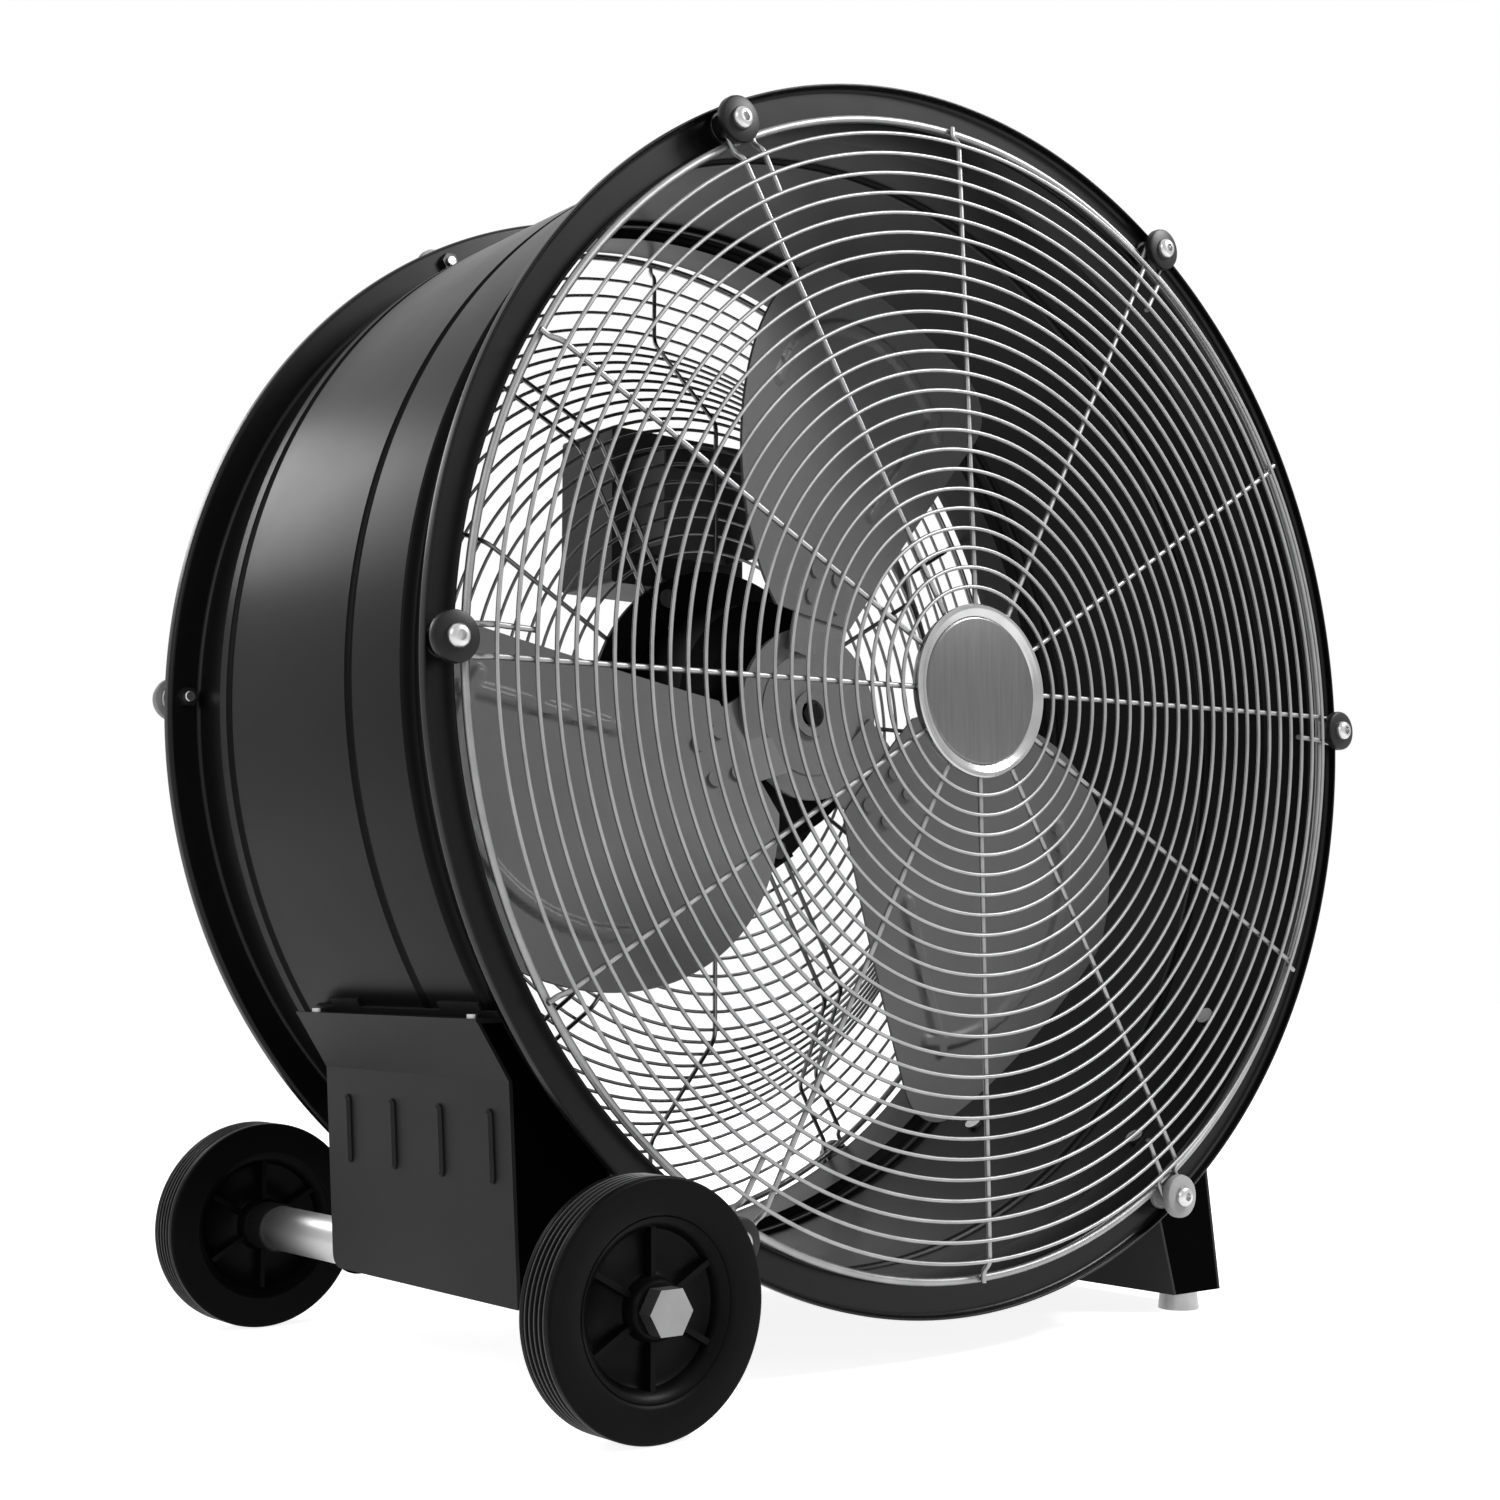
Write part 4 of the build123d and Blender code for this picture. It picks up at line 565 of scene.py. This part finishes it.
def make_badge():
    back = -FRONT_MID_Y - SPOKE_R
    for name, profile, material, replaces in (
            ("badge_rim", BADGE_RIM, "badge_edge", ["grille_badge"]),
            ("badge_face", BADGE_FACE, "badge", ())):
        part = lathe([(r, back - rise) for r, rise in profile], BADGE_STEPS, closed=False)
        piece(name, part, "frame", material, replaces)


# ---- Blades: outlines on the flat sheet, angles in degrees about the drum axis ----
BLADE_ANGLES = (82.0, 202.0, 322.0)
BLADE_Y, BLADE_T, BLADE_PITCH, CAMBER_R = -17.0, 1.6, 13.0, 600.0
TIP_R, TIP_LOW, TIP_HIGH, TIP_FILLET = 278.0, -31.0, 8.0, 28.0
ROOT_LOW, ROOT_HIGH, EDGE_MID = (60.0, -28.0), (56.0, 45.0), (192.0, 98.0)
FILLET_STEPS, TIP_STEPS, EDGE_STEPS = 16, 24, 60

# Ribs: height, half their width, width of a flank, and (radius, angle) of their lines
RIB_H, RIB_HALF, RIB_FLANK = 2.4, 4.6, 1.6
RIB_LINE = ((140, -15), (236, -22))
RIB_BOW = ((200, 20), (246, 0), (225, -24))
RIB_BOW_STEPS = 10


def polar(radius, angle):
    return radius * math.cos(math.radians(angle)), radius * math.sin(math.radians(angle))


def circle_through(a, b, c):
    """Centre and radius of the circle through three points."""
    matrix = 2 * np.array([[b[0] - a[0], b[1] - a[1]], [c[0] - a[0], c[1] - a[1]]])
    right = [b[0] ** 2 + b[1] ** 2 - a[0] ** 2 - a[1] ** 2,
             c[0] ** 2 + c[1] ** 2 - a[0] ** 2 - a[1] ** 2]
    centre = np.linalg.solve(matrix, right)
    return centre, math.dist(centre, a)


def meet(c1, r1, c2, r2, near):
    """Point where two circles cross, the one nearer to a given point."""
    c1, c2 = np.array(c1, float), np.array(c2, float)
    span = np.linalg.norm(c2 - c1)
    along = (r1 ** 2 - r2 ** 2 + span ** 2) / (2 * span)
    height = math.sqrt(max(r1 ** 2 - along ** 2, 0.0))
    unit = (c2 - c1) / span
    side = np.array((-unit[1], unit[0]))
    options = [c1 + unit * along + side * height, c1 + unit * along - side * height]
    return min(options, key=lambda p: math.dist(p, near))


def arc_between(centre, start, end, steps):
    """Shorter arc about a centre from one point to another."""
    a = math.degrees(math.atan2(start[1] - centre[1], start[0] - centre[0]))
    b = math.degrees(math.atan2(end[1] - centre[1], end[0] - centre[0]))
    turn = (b - a + 180) % 360 - 180
    return arc(centre, math.dist(centre, start), a, a + turn, steps)


def even(points, count):
    """Points spread evenly along a polyline."""
    points = np.array(points)
    runs = np.concatenate([[0.0], np.cumsum(np.linalg.norm(np.diff(points, axis=0), axis=1))])
    spots = np.linspace(0, runs[-1], count)
    return np.stack([np.interp(spots, runs, points[:, i]) for i in range(2)], axis=1)


def low_edge(tip):
    """Straight edge from the root, a fillet, and the tip's arc to its middle."""
    root = np.array(ROOT_LOW)
    low = np.array(polar(TIP_R, TIP_LOW))
    unit = (low - root) / np.linalg.norm(low - root)
    inward = np.array((-unit[1], unit[0]))
    start = root + inward * TIP_FILLET
    b = np.dot(start, unit)
    run = -b + math.sqrt(b * b - np.dot(start, start) + (TIP_R - TIP_FILLET) ** 2)
    centre = start + unit * run
    touch = centre / np.linalg.norm(centre) * TIP_R
    edge = [tuple(root), tuple(centre - inward * TIP_FILLET)]
    edge += arc_between(centre, edge[-1], touch, FILLET_STEPS)[1:]
    return edge + arc_between((0, 0), touch, tip, TIP_STEPS)[1:]


def high_edge(tip):
    """Bowed edge from the root, a fillet, and the tip's arc to its middle."""
    high = polar(TIP_R, TIP_HIGH)
    bow_centre, bow_r = circle_through(ROOT_HIGH, EDGE_MID, high)
    centre = meet((0, 0), TIP_R - TIP_FILLET, bow_centre, bow_r - TIP_FILLET, high)
    off = bow_centre + (centre - bow_centre) / np.linalg.norm(centre - bow_centre) * bow_r
    touch = centre / np.linalg.norm(centre) * TIP_R
    edge = arc_between(bow_centre, ROOT_HIGH, off, EDGE_STEPS)
    edge += arc_between(centre, off, touch, FILLET_STEPS)[1:]
    return edge + arc_between((0, 0), touch, tip, TIP_STEPS)[1:]


def distance_to(path, u, v):
    """Distance of points from a polyline."""
    best = np.full(u.shape, np.inf)
    for (x0, y0), (x1, y1) in zip(path, path[1:]):
        dx, dy = x1 - x0, y1 - y0
        t = np.clip(((u - x0) * dx + (v - y0) * dy) / (dx * dx + dy * dy), 0, 1)
        best = np.minimum(best, np.hypot(u - x0 - t * dx, v - y0 - t * dy))
    return best


def rib_paths():
    start, middle, end = (polar(*spot) for spot in RIB_BOW)
    centre, _ = circle_through(start, middle, end)
    bow = arc_between(centre, start, middle, RIB_BOW_STEPS)
    bow += arc_between(centre, middle, end, RIB_BOW_STEPS)[1:]
    return [[polar(*spot) for spot in RIB_LINE], bow]


def sheet_points(u, v, depth):
    """Points on the rolled sheet; depth is towards the back."""
    pitch = math.radians(BLADE_PITCH)
    z0, y0 = -CAMBER_R * math.sin(pitch), BLADE_Y - CAMBER_R * math.cos(pitch)
    lean = np.arcsin((v - z0) / CAMBER_R)
    radius = CAMBER_R + depth
    return np.stack([u, y0 + radius * np.cos(lean), z0 + radius * np.sin(lean)], axis=-1)


def blade_part(rows=230, columns=120):
    """Blade on +X: a grid between its two edges, lifted to the front at the ribs."""
    tip = polar(TIP_R, (TIP_LOW + TIP_HIGH) / 2)
    low, high = even(low_edge(tip), rows), even(high_edge(tip), rows)
    t = np.linspace(0, 1, columns)[None, :]
    u = low[:, :1] * (1 - t) + high[:, :1] * t
    v = low[:, 1:] * (1 - t) + high[:, 1:] * t
    lift = np.zeros(u.shape)
    for path in rib_paths():
        rise = np.clip((RIB_HALF - distance_to(path, u, v)) / RIB_FLANK, 0, 1)
        lift = np.maximum(lift, RIB_H * rise * rise * (3 - 2 * rise))
    verts = []
    for depth in (0.0, BLADE_T):
        grid = sheet_points(u, v, depth - lift)
        verts.extend(map(tuple, grid.reshape(-1, 3)))
    faces = []
    half = rows * columns
    for i in range(rows - 1):
        for j in range(columns - 1):
            a = i * columns + j
            quad = (a, a + 1, a + columns + 1, a + columns)
            faces.append(quad)
            faces.append(tuple(n + half for n in reversed(quad)))
    edge = [i * columns for i in range(rows)]
    edge += [i * columns + columns - 1 for i in range(rows - 1, -1, -1)]
    edge += list(range(columns - 2, 0, -1))
    for a, b in zip(edge, edge[1:] + edge[:1]):
        faces.append((a, b, b + half, a + half))
    return verts, faces


def make_blades():
    part = blade_part()
    for number, angle in enumerate(BLADE_ANGLES, 1):
        piece(f"blade_sheet_{number}", turned(part, angle), "rotor", "blade",
              [f"blade_{number}"], angle=SHEET_SHARP)


# ---- Wheels ----
# Tyre: its bore, side walls and shoulders, then the thin ribs of its tread
TYRE_IN_R, TYRE_FLAT_R = 41.0, 52
SHOULDER, SHOULDER_BEND = 4, 1.8
TREAD_RIBS, TREAD_EDGE, TREAD_DEPTH, TREAD_HALF = 5, 4.2, 1.3, 0.4
TREAD_FLANK, TREAD_SINK, TREAD_TOP_STEPS = 0.4 * TREAD_DEPTH, 0.3, 6

# Rim: its wall, then half the thickness of the web in its middle and at its ends
RIM_WALL, RIM_WEB, RIM_ROOT = 4.5, 2.5, 4.0
BOSS_FOOT_R, BOSS_LOW_R, BOSS_R, BOSS_TOP_R, BORE_R = 17.0, 15.0, 14.0, 12.5, 6.05

# Ribs of the rim: number, start, half the width and draft; turn of the first in degrees; depth
# of their edges below the tyre's inner and outer side
RIM_RIBS, RIM_RIB_IN_R, RIM_RIB_HALF, RIM_RIB_DRAFT = 6, 13.0, 2.0, 0.7
RIM_RIB_TURN = 30
RIM_RIB_INNER, RIM_RIB_OUTER = 4.0, 5.0
WHEEL_STEPS, RIM_STEPS = 160, 120


def tyre_section(inner, outer, radius):
    """Closed section of the tyre: side walls, shoulders and the ground of its tread."""
    ground = radius - TREAD_DEPTH
    points = [(TYRE_IN_R, inner + 1.0), (TYRE_IN_R + 1.2, inner)]
    points += rounded([(TYRE_FLAT_R, inner), (radius, inner), (radius, inner + SHOULDER)],
                      SHOULDER_BEND)
    points += [(ground, inner + TREAD_EDGE), (ground, outer - TREAD_EDGE)]
    points += rounded([(radius, outer - SHOULDER), (radius, outer), (TYRE_FLAT_R, outer)],
                      SHOULDER_BEND)
    points += [(TYRE_IN_R + 2.5, outer), (TYRE_IN_R + 0.8, outer - 0.9), (TYRE_IN_R, outer - 2.2)]
    return points


def tread_rib(y, radius):
    """Closed section of a thin rib with a round top, its foot sunk into the tread's ground."""
    ground = radius - TREAD_DEPTH
    points = [(ground - TREAD_SINK, y - TREAD_HALF), (ground + TREAD_FLANK, y - TREAD_HALF)]
    points += arc((radius - TREAD_HALF, y), TREAD_HALF, -90, 90, TREAD_TOP_STEPS)
    points += [(ground + TREAD_FLANK, y + TREAD_HALF), (ground - TREAD_SINK, y + TREAD_HALF)]
    return points


def rim_section(middle, half):
    """Closed section of the rim: bead, dished web and boss, the same on both sides."""
    bead = TYRE_IN_R - RIM_WALL
    side = ((TYRE_IN_R, half - 1.5), (TYRE_IN_R - 1.5, half - 2.0), (bead, half - 4.5),
            (bead - 1.5, RIM_ROOT), (bead - 4, RIM_WEB), (BOSS_FOOT_R, RIM_WEB),
            (BOSS_LOW_R, RIM_ROOT), (BOSS_R, half - 1.5), (BOSS_TOP_R, half), (BORE_R, half))
    outer = [(r, middle + y) for r, y in side]
    inner = [(r, middle - y) for r, y in side]
    return inner[:1] + outer + inner[:0:-1]


def rib_block(r0, r1, half, y0, y1):
    """Rib along +X that is widest half way up and drafted towards both its edges."""
    verts = []
    slim = half * RIM_RIB_DRAFT
    for r in (r0, r1):
        for y, w in ((y0, slim), ((y0 + y1) / 2, half), (y1, slim)):
            verts += [(r, y, -w), (r, y, w)]
    faces = [(0, 1, 7, 6), (4, 5, 11, 10), (0, 2, 4, 5, 3, 1), (6, 7, 9, 11, 10, 8),
             (0, 2, 8, 6), (2, 4, 10, 8), (1, 3, 9, 7), (3, 5, 11, 9)]
    return verts, faces


def make_wheels():
    low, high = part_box("rear_tyre")
    x = (low[0] + high[0]) / 2 / MM
    z = ((low[2] + high[2]) / 2 - AXIS_Z) / MM
    inner, outer = low[1] / MM, high[1] / MM
    radius = (high[2] - low[2]) / 2 / MM
    tyre = lathe(tyre_section(inner, outer, radius), steps=WHEEL_STEPS, x=x, z=z)
    margin = TREAD_EDGE + 2 * TREAD_HALF
    tread = merge([lathe(tread_rib(y, radius), steps=WHEEL_STEPS, x=x, z=z)
                   for y in np.linspace(inner + margin, outer - margin, TREAD_RIBS)])
    section = rim_section((inner + outer) / 2, (outer - inner) / 2)
    rim = [lathe(section, steps=RIM_STEPS, x=x, z=z)]
    rib = rib_block(RIM_RIB_IN_R, TYRE_IN_R - RIM_WALL, RIM_RIB_HALF,
                    inner + RIM_RIB_INNER, outer - RIM_RIB_OUTER)
    for k in range(RIM_RIBS):
        rim.append(moved(turned(rib, 360.0 / RIM_RIBS * k + RIM_RIB_TURN), dx=x, dz=z))
    rows = (("tyre_rubber", tyre, "tyre_rubber", "rubber", "tyre"),
            # the tread ribs take the lighter rubber, a painted highlight along the tread
            ("tyre_tread", tread, "tyre_rubber", "tread", None),
            ("wheel_rim", merge(rim), "black_plastic", "rim", "rim"))
    for side in ("rear", "front"):
        for name, part, slot, material, node in rows:
            shape = part if side == "rear" else mirrored(part)
            replaces = [f"{side}_{node}"] if node else ()
            piece(f"{side}_{name}", shape, f"{side}_wheel", material, replaces)


# ---- CAD nodes that stay, with their finish ----
STAYS = {
    "motor_housing": "motor", "motor_front_shield": "motor", "motor_rear_shield": "motor",
    "motor_mount": "motor", "box_bracket": "bracket", "motor_bearings": "zinc",
    "stator_core": "core", "rotor_core": "core", "motor_mount_bolts": "zinc",
    "motor_shaft": "zinc", "blade_hub": "hub", "blade_rivets": "blade", "hub_bolt": "motor",
    "control_box": "box", "control_box_cover": "box", "cover_screws": "zinc",
    "speed_switch": "black", "run_capacitor": "grey", "cable_gland": "black",
    "speed_knob": "black", "front_nuts": "dark_zinc", "rear_nuts": "dark_zinc",
    "left_outer_panel": "stand", "left_inner_panel": "stand", "right_outer_panel": "stand",
    "right_inner_panel": "stand", "right_base": "stand", "left_saddle": "stand",
    "right_saddle": "stand", "left_front_plate": "plate", "left_rear_plate": "plate",
    "right_front_plate": "plate", "right_rear_plate": "plate", "stand_screws": "zinc",
    "flange_screws": "zinc", "feet": "foot", "foot_screws": "zinc", "axle_tube": "tube",
    "axle_sleeves": "black", "axle_bolts": "hex",
}
# Width of the softened edges in millimetres
SOFT_EDGES = {
    "control_box": 1.2, "control_box_cover": 0.8, "blade_hub": 0.5, "hub_bolt": 0.5,
    "left_outer_panel": 0.5, "right_outer_panel": 0.5, "right_inner_panel": 0.5,
    "left_front_plate": 0.5, "right_front_plate": 0.5, "left_rear_plate": 0.5,
    "right_rear_plate": 0.5, "right_base": 0.4, "feet": 0.5, "axle_bolts": 0.6,
    "axle_tube": 0.3, "axle_sleeves": 0.5, "speed_knob": 0.8, "cable_gland": 0.6,
    "motor_housing": 0.6, "motor_mount": 0.4, "stand_screws": 0.5, "flange_screws": 0.5,
}
SOFT_ANGLE = 35                     # degrees from which an edge is softened
SOFT_SEGMENTS = 2


def dress_cad_nodes():
    for name, finish in STAYS.items():
        obj = NODES[name]
        obj.data.materials.clear()
        obj.data.materials.append(MATERIALS[finish])
        if name in SOFT_EDGES:
            bevel = obj.modifiers.new("soft_edges", "BEVEL")
            bevel.width = SOFT_EDGES[name] * MM
            bevel.segments = SOFT_SEGMENTS
            bevel.limit_method = "ANGLE"
            bevel.angle_limit = math.radians(SOFT_ANGLE)


# ---- Stage, light and camera, in metres ----
WHITE = (1, 1, 1, 1)
WORLD_LIGHT = 0.16                  # strength of the world on matte surfaces
FLOOR_COLOUR, FLOOR_ROUGHNESS = (0.9, 0.9, 0.9, 1), 0.9
FLOOR_GLOW = 0.87                   # seen by the camera and in reflections over its shading
FLOOR_HALF = 8.0
FLOOR_Z = -0.0005                   # just below the feet

# Name: place, size, watts and target
LAMPS = {
    "key": ((1.1, -1.15, 1.7), (0.55, 0.55), 44, (0.0, 0.0, 0.36)),
    "fill": ((-2.2, -0.9, 1.4), (1.4, 1.4), 12, (0.0, 0.0, 0.36)),
    "top": ((0.0, 0.3, 2.4), (1.8, 1.4), 5, (0.0, 0.0, 0.36)),
    "rim_softbox": ((-0.62, 1.9, 1.25), (0.7, 0.5), 6.5, (-0.28, 0.0, 0.45)),
}
CAMERA_PLACE = (-0.8278, -0.9983, -0.1463)      # from the middle of the drum
CAMERA_TARGET = (-0.03385, 0.0, -0.02259)
LENS, SENSOR = 51.43, 36.0          # millimetres
CLIP_START = 0.01


def either(tree, first, second):
    """1 where at least one of two ray tests is 1."""
    node = tree.nodes.new("ShaderNodeMath")
    node.operation = "MAXIMUM"
    tree.links.new(first, node.inputs[0])
    tree.links.new(second, node.inputs[1])
    return node.outputs[0]


def mix_into(tree, share, first, second, out):
    """Mix two shaders by a ray test into the output's surface."""
    mix = tree.nodes.new("ShaderNodeMixShader")
    tree.links.new(share, mix.inputs[0])
    tree.links.new(first, mix.inputs[1])
    tree.links.new(second, mix.inputs[2])
    tree.links.new(mix.outputs[0], out.inputs[0])


def emitter(tree, kind, strength):
    node = tree.nodes.new(kind)
    node.inputs["Color"].default_value = WHITE
    node.inputs["Strength"].default_value = strength
    return node.outputs[0]


def make_world():
    """White to the camera and in reflections, dim to matte surfaces."""
    world = bpy.data.worlds.new("studio")
    bpy.context.scene.world = world
    world.use_nodes = True
    tree = world.node_tree
    tree.nodes.clear()
    path = tree.nodes.new("ShaderNodeLightPath")
    seen = either(tree, path.outputs["Is Camera Ray"], path.outputs["Is Transmission Ray"])
    share = either(tree, seen, path.outputs["Is Glossy Ray"])
    plain = emitter(tree, "ShaderNodeBackground", WORLD_LIGHT)
    white = emitter(tree, "ShaderNodeBackground", 1.0)
    mix_into(tree, share, plain, white, tree.nodes.new("ShaderNodeOutputWorld"))


def make_floor():
    """Pale floor that glows to the camera and in reflections, and keeps the shadow."""
    mesh = bpy.data.meshes.new("floor")
    signs = ((-1, -1), (1, -1), (1, 1), (-1, 1))
    corners = [(x * FLOOR_HALF, y * FLOOR_HALF, 0) for x, y in signs]
    mesh.from_pydata(corners, [], [(0, 1, 2, 3)])
    floor = bpy.data.objects.new("floor", mesh)
    floor.location.z = FLOOR_Z
    bpy.context.scene.collection.objects.link(floor)
    material = bpy.data.materials.new("floor_white")
    material.use_nodes = True
    tree = material.node_tree
    shader = tree.nodes["Principled BSDF"]
    shader.inputs["Base Color"].default_value = FLOOR_COLOUR
    shader.inputs["Roughness"].default_value = FLOOR_ROUGHNESS
    total = tree.nodes.new("ShaderNodeAddShader")
    tree.links.new(shader.outputs[0], total.inputs[0])
    tree.links.new(emitter(tree, "ShaderNodeEmission", FLOOR_GLOW), total.inputs[1])
    path = tree.nodes.new("ShaderNodeLightPath")
    share = either(tree, path.outputs["Is Camera Ray"], path.outputs["Is Glossy Ray"])
    mix_into(tree, share, shader.outputs[0], total.outputs[0], tree.nodes["Material Output"])
    mesh.materials.append(material)


def point(obj, place, target):
    """Put a lamp or the camera into the scene, turned to its target."""
    obj.location = place
    obj.rotation_euler = (Vector(target) - Vector(place)).to_track_quat("-Z", "Y").to_euler()
    bpy.context.scene.collection.objects.link(obj)


def make_lights():
    for name, (place, size, power, target) in LAMPS.items():
        light = bpy.data.lights.new(name, "AREA")
        light.shape = "RECTANGLE"
        light.size, light.size_y = size
        light.energy = power
        point(bpy.data.objects.new(name, light), place, target)


def make_camera():
    camera = bpy.data.cameras.new("camera")
    camera.lens = LENS
    camera.sensor_width = SENSOR
    camera.clip_start = CLIP_START
    obj = bpy.data.objects.new("camera", camera)
    middle = Vector((0, 0, AXIS_Z))
    point(obj, Vector(CAMERA_PLACE) + middle, Vector(CAMERA_TARGET) + middle)
    bpy.context.scene.camera = obj


bpy.context.scene.view_settings.view_transform = "Standard"
make_drum()
make_front_grille()
make_rear_guard()
make_bushes_and_bolts()
make_badge()
make_blades()
make_wheels()
dress_cad_nodes()
make_world()
make_floor()
make_lights()
make_camera()
